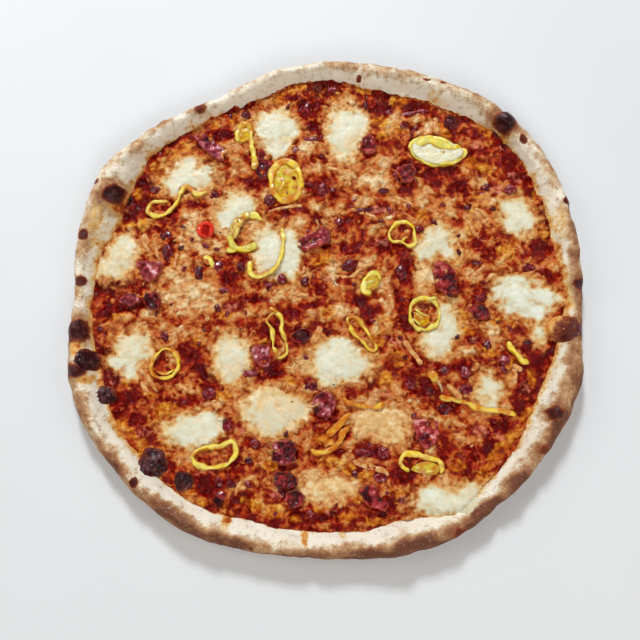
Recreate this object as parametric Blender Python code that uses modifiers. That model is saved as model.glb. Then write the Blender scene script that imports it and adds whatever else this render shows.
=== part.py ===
"""A whole thin-crust pizza, about 42 cm across, lying flat.

A puffed rim runs round a flat dough base. On the base lies one bed of tomato sauce and melted
cheese, with crumbled bits and shreds sunk in it. Pools of fresh mozzarella, slices of ham and
rings of yellow pepper lie on the bed, each as its own solid, draped over whatever is under it.

Metres, +Z up. The origin is the middle of the flat underside.
"""

import math
import random

import bmesh
import bpy
from mathutils import Matrix, Vector, noise
from mathutils.bvhtree import BVHTree

MM = 0.001
COLLECTION = "hawaiian_pizza"
SEED = 41

# --- crust ---------------------------------------------------------------------------------
# Radii of the rim's outside and of the edge where the sauce meets it, every 10 degrees
# anticlockwise from +X about the rim's centre, in millimetres.
RIM_CENTRE = (0.5, 1.0)
RIM_OUTSIDE = (
    210, 213, 217, 221, 223, 221, 216, 212, 208, 208, 206, 200,
    198, 205, 212, 219, 216, 212, 208, 213, 220, 221, 219, 219,
    218, 213, 209, 208, 211, 215, 216, 215, 215, 216, 216, 211,
)  # fmt: skip
RIM_INSIDE = (
    193, 190, 195, 198, 201, 198, 191, 187, 185, 190, 187, 181,
    182, 185, 190, 186, 182, 189, 191, 192, 191, 196, 195, 196,
    194, 188, 186, 185, 187, 187, 198, 194, 192, 186, 187, 190,
)  # fmt: skip
RIM_STEPS = 120
DOUGH_Z = 5.5 * MM  # top of the flat dough under the sauce
CREST_BASE = 9.0 * MM
CREST_PER_WIDTH = 0.52  # a wider stretch of rim has puffed up higher
CREST_RIPPLE = 1.6 * MM
REFERENCE_CREST = 20.0 * MM
# Section of the rim from the sauce's edge over the crest to the underside:
# (share of the rim's width, height in millimetres under the reference crest).
RIM_SECTION = (
    (0.00, 5.5),
    (0.15, 8.8),
    (0.35, 16.0),
    (0.56, 20.0),
    (0.77, 18.6),
    (0.93, 13.5),
    (1.00, 7.5),
    (0.97, 2.0),
    (0.90, 0.0),
)
# Puffed blisters on the rim: x, y, radius and height in millimetres.
BLISTERS = (
    (-175, 81, 13, 5),
    (150, 147, 14, 5),
    (197, -28, 16, 5),
    (-202, -28, 10, 3),
    (-191, -56, 12, 5),
    (-201, -63, 10, 3),
    (-178, -83, 11, 4),
    (-137, -135, 15, 6),
    (-113, -150, 11, 5),
    (177, -97, 9, 4),
    (199, 76, 9, 3),
    (-8, 186, 9, 3),
    (110, 155, 9, 4),
)

# --- bed of sauce and melted cheese -----------------------------------------------------------
GAP = 0.35 * MM  # between pieces that touch
BED_THICKNESS = 2.9 * MM
BED_LIP = 0.7 * MM
BED_TAPER = 9 * MM  # width over which the bed thins out to its lip
BED_CLEAR_EDGE = 4 * MM  # how far in from the edge the sunk bits stay
BED_LUMP_SIZES = (27 * MM, 12 * MM)
BED_LUMP_HEIGHTS = (1.2 * MM, 0.8 * MM)
# Crumbled bits sunk in the bed: x, y, half length, half width in millimetres, turn in degrees.
CRUMBS = (
    (-48, 82, 5, 5, 0),
    (-95, 87, 4, 4, 0),
    (-3, 92, 5, 8, 10),
    (9, 63, 5, 4, 0),
    (-18, 12, 4, 4, 0),
    (-37, 14, 5, 4, 0),
    (-89, 27, 6, 6, 0),
    (-71, 23, 4, 4, 0),
    (-106, 21, 5, 6, 20),
    (-119, 24, 4, 3, 0),
    (-134, 52, 6, 5, 0),
    (-131, -33, 4, 4, 0),
    (-94, -80, 6, 5, 30),
    (-57, -120, 4, 4, 0),
    (-83, -160, 5, 4, 0),
    (-13, -173, 4, 4, 0),
    (28, -127, 7, 4, 0),
    (45, -127, 5, 5, 0),
    (42, -146, 6, 4, 10),
    (112, -77, 6, 5, 0),
    (112, -63, 4, 5, 0),
    (143, -53, 6, 4, 20),
    (63, 20, 4, 7, 0),
    (133, 94, 5, 4, -30),
    (-176, -28, 4, 3, 0),
    (66, -74, 6, 4, 0),
    (96, -94, 6, 4, -20),
    (127, -2, 5, 3, 20),
    (-17, 168, 5, 8, 0),
    (168, 24, 6, 4, -10),
    (160, 95, 7, 4, 0),
    (-146, 92, 5, 4, 0),
)
CRUMB_RISE = 2.2 * MM
SHRED_COUNT = 14
SHRED_LENGTH = (11 * MM, 17 * MM)
SHRED_WIDTH = 3.2 * MM
SHRED_RISE = 1.6 * MM

# --- mozzarella ---------------------------------------------------------------------------------
# Each pool is a few ellipses run together: x, y, half length, half width in millimetres, turn.
MOZZARELLA = (
    ((-45, 149, 16, 16, 0), (-42, 131, 9, 10, 0), (-31, 147, 8, 7, 0)),
    ((15, 143, 14, 25, 0), (27, 152, 9, 13, 0)),
    ((-117, 103, 21, 13, 0), (-128, 96, 9, 10, 0), (-118, 115, 8, 6, 0)),
    ((-73, 77, 13, 12, 0), (-83, 66, 9, 9, 0)),
    ((-173, 31, 13, 17, -30), (-168, 43, 9, 9, 0), (-181, 22, 12, 6, 10)),
    ((-47, 38, 14, 20, 10), (-31, 35, 9, 21, 0)),
    ((94, 47, 12, 13, 0), (82, 39, 9, 8, 0), (100, 38, 7, 6, 0)),
    ((82, 18, 6, 11, -15),),
    ((162, 65, 14, 13, 0), (157, 77, 11, 7, 0)),
    ((157, 0, 19, 15, -20), (179, -2, 13, 8, 0), (170, -13, 10, 8, 0)),
    ((173, -30, 5, 9, 10),),
    ((-157, -44, 14, 15, 0), (-168, -55, 10, 6, 0), (-159, -61, 6, 7, 0)),
    ((-77, -50, 14, 17, 0), (-78, -62, 11, 10, 0)),
    ((12, -55, 23, 15, -8), (2, -57, 12, 17, 0), (10, -42, 9, 8, 0)),
    ((91, -37, 13, 13, 0), (99, -22, 8, 15, 0)),
    ((-45, -95, 22, 18, -10), (-26, -93, 11, 10, 0)),
    ((-108, -110, 20, 13, 0), (-96, -106, 13, 11, 0)),
    ((42, -103, 20, 11, 0), (53, -112, 10, 8, 0)),
    ((130, -77, 10, 12, 15), (131, -90, 8, 4, 0)),
    ((92, -166, 22, 10, -2), (112, -162, 12, 11, 20), (81, -158, 8, 6, 0)),
    ((-6, -156, 13, 8, 0), (10, -153, 13, 6, -10)),
)
MOZZARELLA_SPREAD = 1.06
MOZZARELLA_THICKNESS = 2.4 * MM
MOZZARELLA_SIDES = 14

# --- ham ----------------------------------------------------------------------------------------
# Each slice: its corners in millimetres, and its thickness.
HAM = (
    (((-114, 139), (-107, 142), (-98, 137), (-89, 128), (-87, 118), (-94, 118), (-103, 126)), 3.0),
    (((-56, 129), (-50, 121), (-46, 113), (-48, 106), (-56, 101), (-60, 108), (-59, 120)), 2.6),
    (((-25, 42), (-22, 48), (-12, 53), (-3, 59), (3, 53), (2, 45), (-8, 41), (-18, 38)), 2.8),
    (((88, 20), (93, 29), (100, 28), (106, 21), (108, 3), (100, 0), (91, 6)), 3.4),
    (((-158, 28), (-148, 29), (-136, 27), (-137, 19), (-146, 11), (-152, 14)), 2.8),
    (((-149, 2), (-140, 3), (-136, -4), (-138, -12), (-146, -12), (-150, -5)), 4.0),
    (((-170, -6), (-165, 1), (-158, 1), (-154, -5), (-161, -9)), 2.8),
    (((-9, -82), (-2, -79), (6, -82), (7, -90), (2, -99), (-7, -98), (-12, -90)), 4.5),
    (((-43, -119), (-34, -117), (-25, -119), (-25, -134), (-34, -137), (-43, -133)), 6.5),
    (((-42, -142), (-33, -141), (-24, -145), (-22, -152), (-30, -154), (-41, -153)), 3.6),
    (((-31, -157), (-24, -155), (-18, -160), (-20, -167), (-28, -169), (-33, -164)), 3.2),
    (((24, -156), (32, -151), (39, -153), (42, -161), (48, -166), (45, -171), (33, -168)), 4.2),
    (((69, -102), (79, -101), (88, -103), (88, -113), (84, -121), (77, -124), (71, -115)), 3.2),
    (((116, -10), (122, -7), (130, -9), (134, -15), (130, -20), (121, -20)), 3.0),
    (((-60, -44), (-53, -40), (-46, -43), (-46, -52), (-47, -59), (-54, -58), (-60, -51)), 3.6),
    (((-29, -33), (-22, -28), (-13, -29), (-13, -35), (-20, -40), (-28, -38)), 3.4),
    (((57, 103), (61, 112), (72, 115), (76, 108), (72, 99), (62, 98)), 3.0),
    (((29, 128), (31, 138), (37, 142), (42, 136), (42, 127), (35, 124)), 3.6),
)
HAM_SIDES = 12

# --- pepper rings -------------------------------------------------------------------------------
# Each ring or strip of pepper wall: closed or open, wall width in millimetres, and its middle line.
PEPPERS = (
    (False, 4.5, ((-75, 134), (-76, 143), (-71, 151), (-66, 148), (-65, 138), (-63, 126), (-61, 116), (-62, 110))),
    (True, 5.5, ((-22, 99), (-25, 111), (-35, 117), (-44, 110), (-47, 99), (-44, 88), (-35, 82), (-25, 87))),
    (True, 3.4, ((118, 125), (111, 131), (98, 136), (86, 138), (76, 135), (72, 128), (79, 119), (94, 114), (109, 117))),
    (False, 3.0, ((-101, 90), (-109, 87), (-118, 94), (-123, 89), (-127, 79), (-135, 71), (-143, 68), (-150, 72), (-147, 80), (-134, 82))),
    (False, 4.5, ((-54, 65), (-63, 69), (-72, 66), (-79, 57), (-80, 47), (-75, 40), (-66, 40), (-58, 44))),
    (False, 3.2, ((-38, 58), (-36, 46), (-38, 33), (-44, 22), (-55, 16), (-63, 19), (-63, 30))),
    (True, 2.8, ((52, 52), (58, 61), (66, 63), (73, 58), (73, 50), (74, 45), (69, 42), (62, 46), (55, 46))),
    (False, 5.0, ((44, 12), (41, 18), (35, 17), (31, 9), (31, 3), (37, 2))),
    (True, 3.4, ((92, -15), (89, -6), (80, -2), (71, -6), (68, -15), (71, -25), (80, -29), (89, -24))),
    (True, 3.0, ((-49, -20), (-43, -15), (-37, -20), (-37, -29), (-33, -39), (-33, -48), (-39, -51), (-43, -43), (-44, -31), (-48, -24))),
    (True, 3.0, ((17, -19), (25, -20), (33, -31), (40, -43), (35, -45), (28, -37), (20, -28))),
    (True, 3.0, ((-131, -44), (-139, -50), (-142, -60), (-137, -67), (-127, -67), (-120, -60), (-121, -50))),
    (False, 5.0, ((147, -38), (149, -44), (155, -50), (158, -54), (164, -55))),
    (True, 3.6, ((-106, -129), (-99, -124), (-86, -122), (-75, -118), (-72, -126), (-78, -135), (-90, -138), (-102, -136))),
    (False, 4.6, ((90, -143), (89, -134), (80, -131), (70, -128), (61, -128), (58, -136), (65, -141))),
    (False, 4.4, ((151, -97), (137, -94), (124, -93), (112, -88), (101, -85), (90, -83))),
    (False, 4.0, ((-13, -124), (-7, -127), (2, -125), (9, -119), (13, -111), (18, -106))),
    (False, 3.4, ((13, -83), (17, -88), (28, -90), (39, -91), (47, -88))),
)  # fmt: skip
PEPPER_HEIGHT = 4.2 * MM
PEPPER_SPACING = 5.6 * MM
PEPPER_SHOULDER = 0.62  # height of the wall's rounded shoulder, as a share of its height
TOMATO_RING = (-101.5, 55.5, 5.6, 2.6)  # x, y, middle radius and tube width in millimetres
TOMATO_RING_HEIGHT = 3.0 * MM


# --- shared shapes ------------------------------------------------------------------------------
def clear_scene():
    for obj in list(bpy.data.objects):
        bpy.data.objects.remove(obj, do_unlink=True)


def around(table, angle):
    """A smooth value round the circle through a table of equal steps."""
    count = len(table)
    place = (angle / math.tau * count) % count
    index = int(place)
    share = place - index
    before, here, after, beyond = (table[(index + k) % count] for k in (-1, 0, 1, 2))
    curve = (
        2 * here
        + (after - before) * share
        + (2 * before - 5 * here + 4 * after - beyond) * share**2
        + (3 * here - before - 3 * after + beyond) * share**3
    )
    return 0.5 * curve * MM


def outline_middle():
    """Where the middle of the rim's outside lies from the rim's centre."""
    angles = [math.tau * step / RIM_STEPS for step in range(RIM_STEPS)]
    xs = [around(RIM_OUTSIDE, angle) * math.cos(angle) for angle in angles]
    ys = [around(RIM_OUTSIDE, angle) * math.sin(angle) for angle in angles]
    return Vector(((min(xs) + max(xs)) / 2, (min(ys) + max(ys)) / 2))


MIDDLE = outline_middle()
ORIGIN = MIDDLE + MM * Vector(RIM_CENTRE)


def at(x, y):
    """A place given in millimetres, in the model's own frame."""
    return Vector((x * MM - ORIGIN.x, y * MM - ORIGIN.y))


def polar(x, y):
    """Radius and angle of a point, about the centre that the rim's tables use."""
    return math.hypot(x + MIDDLE.x, y + MIDDLE.y), math.atan2(y + MIDDLE.y, x + MIDDLE.x)


def ease(share):
    share = min(max(share, 0.0), 1.0)
    return share * share * (3 - 2 * share)


def material(name, color, roughness):
    made = bpy.data.materials.new(name)
    made.use_nodes = True
    shader = made.node_tree.nodes["Principled BSDF"]
    shader.inputs["Base Color"].default_value = (*color, 1.0)
    shader.inputs["Roughness"].default_value = roughness
    shader.inputs["Metallic"].default_value = 0.0
    return made


def place(name, mesh, finish, collection):
    """Puts a mesh in the scene as a sub-part, shaded smooth."""
    mesh.name = name
    mesh.materials.clear()
    mesh.materials.append(finish)
    mesh.shade_smooth()
    obj = bpy.data.objects.new(name, mesh)
    collection.objects.link(obj)
    return obj


def evaluated_mesh(obj):
    """The object's mesh with its modifiers applied. The object itself is removed."""
    bpy.context.view_layer.update()
    graph = bpy.context.evaluated_depsgraph_get()
    mesh = bpy.data.meshes.new_from_object(obj.evaluated_get(graph))
    bpy.data.objects.remove(obj, do_unlink=True)
    return mesh


def turned(points, steps):
    """An open surface turned about Z from a profile of (radius, height) points."""
    mesh = bpy.data.meshes.new("profile")
    edges = [(k, k + 1) for k in range(len(points) - 1)]
    mesh.from_pydata([(x, 0, z) for x, z in points], edges, [])
    obj = bpy.data.objects.new("profile", mesh)
    bpy.context.scene.collection.objects.link(obj)
    screw = obj.modifiers.new("Turn", "SCREW")
    screw.steps = steps
    screw.render_steps = steps
    screw.use_merge_vertices = True
    screw.merge_threshold = 0.00001
    return evaluated_mesh(obj)


def close_up(mesh):
    """Fills a mesh's open rings with flat faces, triangulates it and turns its faces outwards."""
    shape = bmesh.new()
    shape.from_mesh(mesh)
    open_edges = [edge for edge in shape.edges if edge.is_boundary]
    bmesh.ops.holes_fill(shape, edges=open_edges, sides=0)
    bmesh.ops.recalc_face_normals(shape, faces=shape.faces)
    bmesh.ops.triangulate(shape, faces=shape.faces)
    shape.to_mesh(mesh)
    shape.free()


# --- what toppings lie on -----------------------------------------------------------------------
class Support:
    """The tops of everything laid so far, so that the next piece can be draped over it."""

    TOP = 0.1
    DOWN = Vector((0, 0, -1))
    RING = 8

    def __init__(self):
        self.layers = []

    def add(self, obj):
        mesh = obj.data
        mesh.calc_loop_triangles()
        corners = [vertex.co.copy() for vertex in mesh.vertices]
        tree = BVHTree.FromPolygons(corners, [tuple(t.vertices) for t in mesh.loop_triangles])
        xs = [corner.x for corner in corners]
        ys = [corner.y for corner in corners]
        self.layers.append((min(xs), max(xs), min(ys), max(ys), tree))

    def height(self, x, y, layers=None):
        """Height of the highest surface over a point, or None."""
        highest = None
        for low_x, high_x, low_y, high_y, tree in layers or self.layers:
            if low_x <= x <= high_x and low_y <= y <= high_y:
                hit = tree.ray_cast(Vector((x, y, self.TOP)), self.DOWN)[0]
                if hit and (highest is None or hit.z > highest):
                    highest = hit.z
        return highest

    def under(self, x, y, spread):
        """The highest surface within a distance of a point."""
        found = [self.height(x, y)]
        for reach in (0.5 * spread, spread):
            for step in range(self.RING):
                angle = math.tau * step / self.RING
                found.append(self.height(x + reach * math.cos(angle), y + reach * math.sin(angle)))
        return max(height for height in found if height is not None)


# --- crust --------------------------------------------------------------------------------------
def crest_height(angle, x, y):
    width = around(RIM_OUTSIDE, angle) - around(RIM_INSIDE, angle)
    ripple = noise.noise(Vector((x / (34 * MM), y / (34 * MM), 3.7)))
    return CREST_BASE + CREST_PER_WIDTH * width + CREST_RIPPLE * ripple


def make_crust(collection):
    near, far = 0.15, 0.21  # radii of the turned shape before it is fitted to the outline
    points = [(near + (far - near) * share, z * MM) for share, z in RIM_SECTION]
    mesh = turned(points, RIM_STEPS)
    for vertex in mesh.vertices:
        angle = math.atan2(vertex.co.y, vertex.co.x)
        share = (math.hypot(vertex.co.x, vertex.co.y) - near) / (far - near)
        inside = around(RIM_INSIDE, angle)
        radius = inside + share * (around(RIM_OUTSIDE, angle) - inside)
        x = radius * math.cos(angle) - MIDDLE.x
        y = radius * math.sin(angle) - MIDDLE.y
        z = vertex.co.z
        if z > DOUGH_Z + 0.1 * MM:
            rise = (crest_height(angle, x, y) - DOUGH_Z) / (REFERENCE_CREST - DOUGH_Z)
            z = DOUGH_Z + (z - DOUGH_Z) * rise
            for blister_x, blister_y, size, height in BLISTERS:
                away = (at(blister_x, blister_y) - Vector((x, y))).length / (size * MM)
                if away < 1:
                    z += height * MM * (1 - away * away) ** 2
        vertex.co = (x, y, z)
    close_up(mesh)
    return place("crust", mesh, material("baked_crust", (0.56, 0.36, 0.18), 0.7), collection)


# --- bed ----------------------------------------------------------------------------------------
def bed_top(x, y):
    radius, angle = polar(x, y)
    share = ease((around(RIM_INSIDE, angle) - radius) / BED_TAPER)
    lumps = sum(
        height * noise.noise(Vector((x / size, y / size, size / MM)))
        for size, height in zip(BED_LUMP_SIZES, BED_LUMP_HEIGHTS, strict=True)
    )
    return DOUGH_Z + GAP + BED_LIP + share * (BED_THICKNESS - BED_LIP + lumps)


def triangle_disc(rings):
    """A flat disc of even triangles: a hexagon cut into rings, each ring bent into a circle."""
    shape = bmesh.new()
    bmesh.ops.create_circle(shape, cap_ends=True, cap_tris=True, segments=6, radius=1.0)
    bmesh.ops.subdivide_edges(shape, edges=shape.edges, cuts=rings - 1, use_grid_fill=True)
    sector = math.tau / 6
    for vertex in shape.verts:
        across = Vector((vertex.co.x, vertex.co.y))
        if across.length < 1e-6:
            continue
        turn = math.atan2(across.y, across.x) - math.pi / 2
        side = math.floor(turn / sector + 1e-6)
        middle = (side + 0.5) * sector + math.pi / 2
        reach = across.dot(Vector((math.cos(middle), math.sin(middle)))) / math.cos(sector / 2)
        along = across.dot(Vector((-math.sin(middle), math.cos(middle)))) / reach
        angle = middle + along * sector
        vertex.co = (reach * math.cos(angle), reach * math.sin(angle), 0)
    bmesh.ops.triangulate(shape, faces=shape.faces)
    return shape


def make_bed(collection):
    shape = triangle_disc(RIM_STEPS // 6)
    for vertex in shape.verts:
        angle = math.atan2(vertex.co.y, vertex.co.x)
        radius = around(RIM_INSIDE, angle) * vertex.co.length
        x = radius * math.cos(angle) - MIDDLE.x
        y = radius * math.sin(angle) - MIDDLE.y
        vertex.co = (x, y, bed_top(x, y))
    rim = [edge for edge in shape.edges if edge.is_boundary]
    skirt = bmesh.ops.extrude_edge_only(shape, edges=rim)["geom"]
    for vertex in (part for part in skirt if isinstance(part, bmesh.types.BMVert)):
        vertex.co.z = DOUGH_Z + GAP
    mesh = bpy.data.meshes.new("bed")
    shape.to_mesh(mesh)
    shape.free()
    close_up(mesh)
    finish = material("sauce_and_cheese", (0.45, 0.12, 0.04), 0.4)
    return place("sauce_cheese_bed", mesh, finish, collection)


# --- pools and slices ---------------------------------------------------------------------------
def ellipse_reach(start, direction, ellipse):
    """How far a ray from a point goes before it leaves an ellipse, or 0 if it misses it."""
    x, y, half_length, half_width, turn = ellipse
    into = Matrix.Rotation(-math.radians(turn), 2)
    scale = Vector((1 / (half_length * MM), 1 / (half_width * MM)))
    origin = into @ (start - at(x, y)) * scale
    ray = into @ direction * scale
    a = ray.dot(ray)
    b = origin.dot(ray)
    c = origin.dot(origin) - 1
    inside = b * b - a * c
    return max(0.0, (-b + math.sqrt(inside)) / a) if inside > 0 else 0.0


def polygon_reach(start, direction, corners):
    """How far a ray from inside a polygon goes before it crosses its outline."""
    reach = 0.0
    for k, corner in enumerate(corners):
        first = corner - start
        edge = corners[(k + 1) % len(corners)] - corner
        turn = direction.x * edge.y - direction.y * edge.x
        if abs(turn) < 1e-12:
            continue
        along = (first.x * edge.y - first.y * edge.x) / turn
        share = (first.x * direction.y - first.y * direction.x) / turn
        if along > 0 and -1e-6 <= share <= 1 + 1e-6:
            reach = max(reach, along)
    return reach


def pillow(start, reach_of, thickness, sides, support):
    """A low cushion whose outline is given by its reach each way, draped over what is under it."""
    shape = bmesh.new()
    bmesh.ops.create_uvsphere(shape, u_segments=sides, v_segments=5, radius=1.0)
    levels = {}
    for vertex in shape.verts:
        across = Vector((vertex.co.x, vertex.co.y))
        share = across.length**0.5 if across.length > 1e-4 else 0.0
        direction = across.normalized() if share else Vector((1, 0))
        radius = reach_of(direction) * min(share, 1.0)
        x, y = start + direction * radius
        key = (round(x / MM, 3), round(y / MM, 3))
        if key not in levels:
            spread = max(0.35 * radius, 2.2 * MM)
            levels[key] = support.under(x, y, min(spread, 4.5 * MM)) + GAP
        top = max(0.0, vertex.co.z + 0.15) / 0.95
        vertex.co = (x, y, levels[key] + thickness * min(top, 1.0))
    bmesh.ops.triangulate(shape, faces=shape.faces)
    mesh = bpy.data.meshes.new("pillow")
    shape.to_mesh(mesh)
    shape.free()
    return mesh


def make_mozzarella(collection, support):
    for number, ellipses in enumerate(MOZZARELLA, 1):
        start = at(ellipses[0][0], ellipses[0][1])

        def reach_of(direction, start=start, ellipses=ellipses, number=number):
            reach = max(ellipse_reach(start, direction, ellipse) for ellipse in ellipses)
            wobble = noise.noise(Vector((1.7 * direction.x, 1.7 * direction.y, 5.3 * number)))
            return reach * (MOZZARELLA_SPREAD + 0.1 * wobble)

        mesh = pillow(start, reach_of, MOZZARELLA_THICKNESS, MOZZARELLA_SIDES, support)
        finish = material(f"mozzarella_{number:02d}", (0.79, 0.74, 0.56), 0.45)
        support.add(place(f"mozzarella_{number:02d}", mesh, finish, collection))


def make_ham(collection, support):
    for number, (corner_list, thickness) in enumerate(HAM, 1):
        corners = [at(x, y) for x, y in corner_list]
        start = sum(corners, Vector((0, 0))) / len(corners)

        def reach_of(direction, start=start, corners=corners):
            return polygon_reach(start, direction, corners)

        mesh = pillow(start, reach_of, thickness * MM, HAM_SIDES, support)
        finish = material(f"ham_{number:02d}", (0.22, 0.05, 0.06), 0.45)
        support.add(place(f"ham_{number:02d}", mesh, finish, collection))


# --- peppers ------------------------------------------------------------------------------------
def smooth_line(points, closed, spacing):
    """Evenly spaced points along a smooth curve through the given ones."""
    count = len(points)
    spans = count if closed else count - 1
    fine = []
    for span in range(spans):
        if closed:
            ends = [points[(span + k) % count] for k in (-1, 0, 1, 2)]
        else:
            ends = [points[min(max(span + k, 0), count - 1)] for k in (-1, 0, 1, 2)]
        before, here, after, beyond = ends
        for step in range(20):
            share = step / 20
            fine.append(
                0.5
                * (
                    2 * here
                    + (after - before) * share
                    + (2 * before - 5 * here + 4 * after - beyond) * share**2
                    + (3 * here - before - 3 * after + beyond) * share**3
                )
            )
    fine.append(points[0] if closed else points[-1])
    lengths = [0.0]
    for first, second in zip(fine, fine[1:], strict=False):
        lengths.append(lengths[-1] + (second - first).length)
    pieces = max(4, round(lengths[-1] / spacing))
    line = []
    index = 0
    for step in range(pieces if closed else pieces + 1):
        goal = min(lengths[-1] * step / pieces, lengths[-1] - 1e-9)
        while lengths[index + 1] < goal:
            index += 1
        share = (goal - lengths[index]) / (lengths[index + 1] - lengths[index])
        line.append(fine[index].lerp(fine[index + 1], share))
    return line


def wall_heights(line, closed, width, support):
    """How high each point of a draped strip lies: clear of all that its two spans pass over."""
    count = len(line)
    spans = count if closed else count - 1
    highest = []
    for span in range(spans):
        first = line[span]
        second = line[(span + 1) % count]
        tops = [
            support.under(*first.lerp(second, share), 0.5 * width + 1.2 * MM)
            for share in (0.0, 0.25, 0.5, 0.75, 1.0)
        ]
        highest.append(max(tops))
    heights = []
    for index in range(count):
        nearby = [highest[index % spans], highest[(index - 1) % spans]]
        if not closed and index in (0, count - 1):
            nearby = [highest[0] if index == 0 else highest[-1]]
        heights.append(max(nearby) + GAP)
    return heights


def wall_section(width, height):
    """A flat-bottomed section with a rounded top, as a small closed curve."""
    curve = bpy.data.curves.new("wall_section", "CURVE")
    curve.dimensions = "2D"
    curve.fill_mode = "NONE"
    spline = curve.splines.new("POLY")
    half = width / 2
    corners = (
        (-half, 0),
        (half, 0),
        (half, PEPPER_SHOULDER * height),
        (0, height),
        (-half, PEPPER_SHOULDER * height),
    )
    spline.points.add(len(corners) - 1)
    for point, (x, y) in zip(spline.points, corners, strict=True):
        point.co = (x, y, 0, 1)
    spline.use_cyclic_u = True
    obj = bpy.data.objects.new("wall_section", curve)
    bpy.context.scene.collection.objects.link(obj)
    return obj


def strip_mesh(line, heights, closed, width, height):
    """A wall of pepper along a line, as a curve with a bevelled section turned into a mesh."""
    section = wall_section(width, height)
    curve = bpy.data.curves.new("strip", "CURVE")
    curve.dimensions = "3D"
    curve.twist_mode = "Z_UP"
    curve.bevel_mode = "OBJECT"
    curve.bevel_object = section
    curve.use_fill_caps = not closed
    spline = curve.splines.new("POLY")
    spline.points.add(len(line) - 1)
    for point, spot, z in zip(spline.points, line, heights, strict=True):
        point.co = (spot.x, spot.y, z, 1)
    spline.use_cyclic_u = closed
    obj = bpy.data.objects.new("strip", curve)
    bpy.context.scene.collection.objects.link(obj)
    mesh = evaluated_mesh(obj)
    bpy.data.objects.remove(section, do_unlink=True)
    shape = bmesh.new()
    shape.from_mesh(mesh)
    bmesh.ops.remove_doubles(shape, verts=shape.verts, dist=0.00001)
    bmesh.ops.recalc_face_normals(shape, faces=shape.faces)
    bmesh.ops.triangulate(shape, faces=shape.faces)
    shape.to_mesh(mesh)
    shape.free()
    return mesh


def make_peppers(collection, support):
    for number, (closed, width, points) in enumerate(PEPPERS, 1):
        line = smooth_line([at(x, y) for x, y in points], closed, PEPPER_SPACING)
        heights = wall_heights(line, closed, width * MM, support)
        mesh = strip_mesh(line, heights, closed, width * MM, PEPPER_HEIGHT)
        finish = material(f"yellow_pepper_{number:02d}", (0.72, 0.47, 0.05), 0.35)
        support.add(place(f"yellow_pepper_{number:02d}", mesh, finish, collection))


def make_tomato_ring(collection, support):
    x, y, radius, width = TOMATO_RING
    angles = [math.tau * step / 10 for step in range(10)]
    line = [at(x + radius * math.cos(a), y + radius * math.sin(a)) for a in angles]
    heights = wall_heights(line, True, width * MM, support)
    mesh = strip_mesh(line, heights, True, width * MM, TOMATO_RING_HEIGHT)
    finish = material("tomato_red", (0.55, 0.02, 0.01), 0.3)
    support.add(place("tomato_ring", mesh, finish, collection))


# --- bits and shreds sunk in the bed ------------------------------------------------------------
def free_of_toppings(x, y, reach, toppings, support):
    """Whether a round place on the bed is clear of its edge and of every separate topping."""
    radius, angle = polar(x, y)
    if radius + reach > around(RIM_INSIDE, angle) - BED_CLEAR_EDGE:
        return False
    if support.height(x, y, toppings) is not None:
        return False
    for step in range(12):
        angle = math.tau * step / 12
        for share in (0.5, 1.0):
            spot_x = x + share * reach * math.cos(angle)
            spot_y = y + share * reach * math.sin(angle)
            if support.height(spot_x, spot_y, toppings) is not None:
                return False
    return True


def make_crumb(x, y, half_length, half_width, turn, draw, holder):
    """A squashed lump, part sunk in the bed."""
    shape = bmesh.new()
    bmesh.ops.create_icosphere(shape, subdivisions=1, radius=1.0)
    for vertex in shape.verts:
        vertex.co *= draw.uniform(0.9, 1.1)
    stretch = Matrix.Diagonal((half_length, half_width, CRUMB_RISE, 1.0))
    spin = Matrix.Rotation(turn, 4, "Z")
    move = Matrix.Translation((x, y, bed_top(x, y) + 0.1 * CRUMB_RISE))
    bmesh.ops.transform(shape, matrix=move @ spin @ stretch, verts=shape.verts)
    keep_helper(shape, holder)


def make_shred(x, y, turn, length, bend, holder):
    """A short bent strip of three straight runs, part sunk in the bed."""
    shape = bmesh.new()
    bmesh.ops.create_cube(shape, size=1.0)
    lengthways = [edge for edge in shape.edges if abs((edge.verts[0].co - edge.verts[1].co).x) > 0.5]
    bmesh.ops.subdivide_edges(shape, edges=lengthways, cuts=2)
    for vertex in shape.verts:
        along = vertex.co.x
        sideways = vertex.co.y * SHRED_WIDTH + bend * (along * along * 4 - 1)
        local = Vector((along * length, sideways))
        spot = Matrix.Rotation(turn, 2) @ local + Vector((x, y))
        level = bed_top(spot.x, spot.y)
        z = level + (SHRED_RISE * (1 - abs(along)) if vertex.co.z > 0 else -1.2 * MM)
        vertex.co = (spot.x, spot.y, z)
    keep_helper(shape, holder)


def keep_helper(shape, holder):
    """Stores a closed lump in the collection that the bed is joined with."""
    bmesh.ops.recalc_face_normals(shape, faces=shape.faces)
    bmesh.ops.triangulate(shape, faces=shape.faces)
    mesh = bpy.data.meshes.new("bit")
    shape.to_mesh(mesh)
    shape.free()
    obj = bpy.data.objects.new("bit", mesh)
    obj.hide_render = True
    obj.display_type = "WIRE"
    holder.objects.link(obj)


def join_bits(bed, holder):
    """One Boolean union of the bed with its bits, applied, and the bits removed."""
    union = bed.modifiers.new("Bits", "BOOLEAN")
    union.operation = "UNION"
    union.operand_type = "COLLECTION"
    union.collection = holder
    union.solver = "EXACT"
    bpy.context.view_layer.update()
    graph = bpy.context.evaluated_depsgraph_get()
    joined = bpy.data.meshes.new_from_object(bed.evaluated_get(graph))
    bed.modifiers.clear()
    bed.data = joined
    joined.shade_smooth()
    for obj in list(holder.objects):
        bpy.data.objects.remove(obj, do_unlink=True)
    bpy.data.collections.remove(holder)


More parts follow.
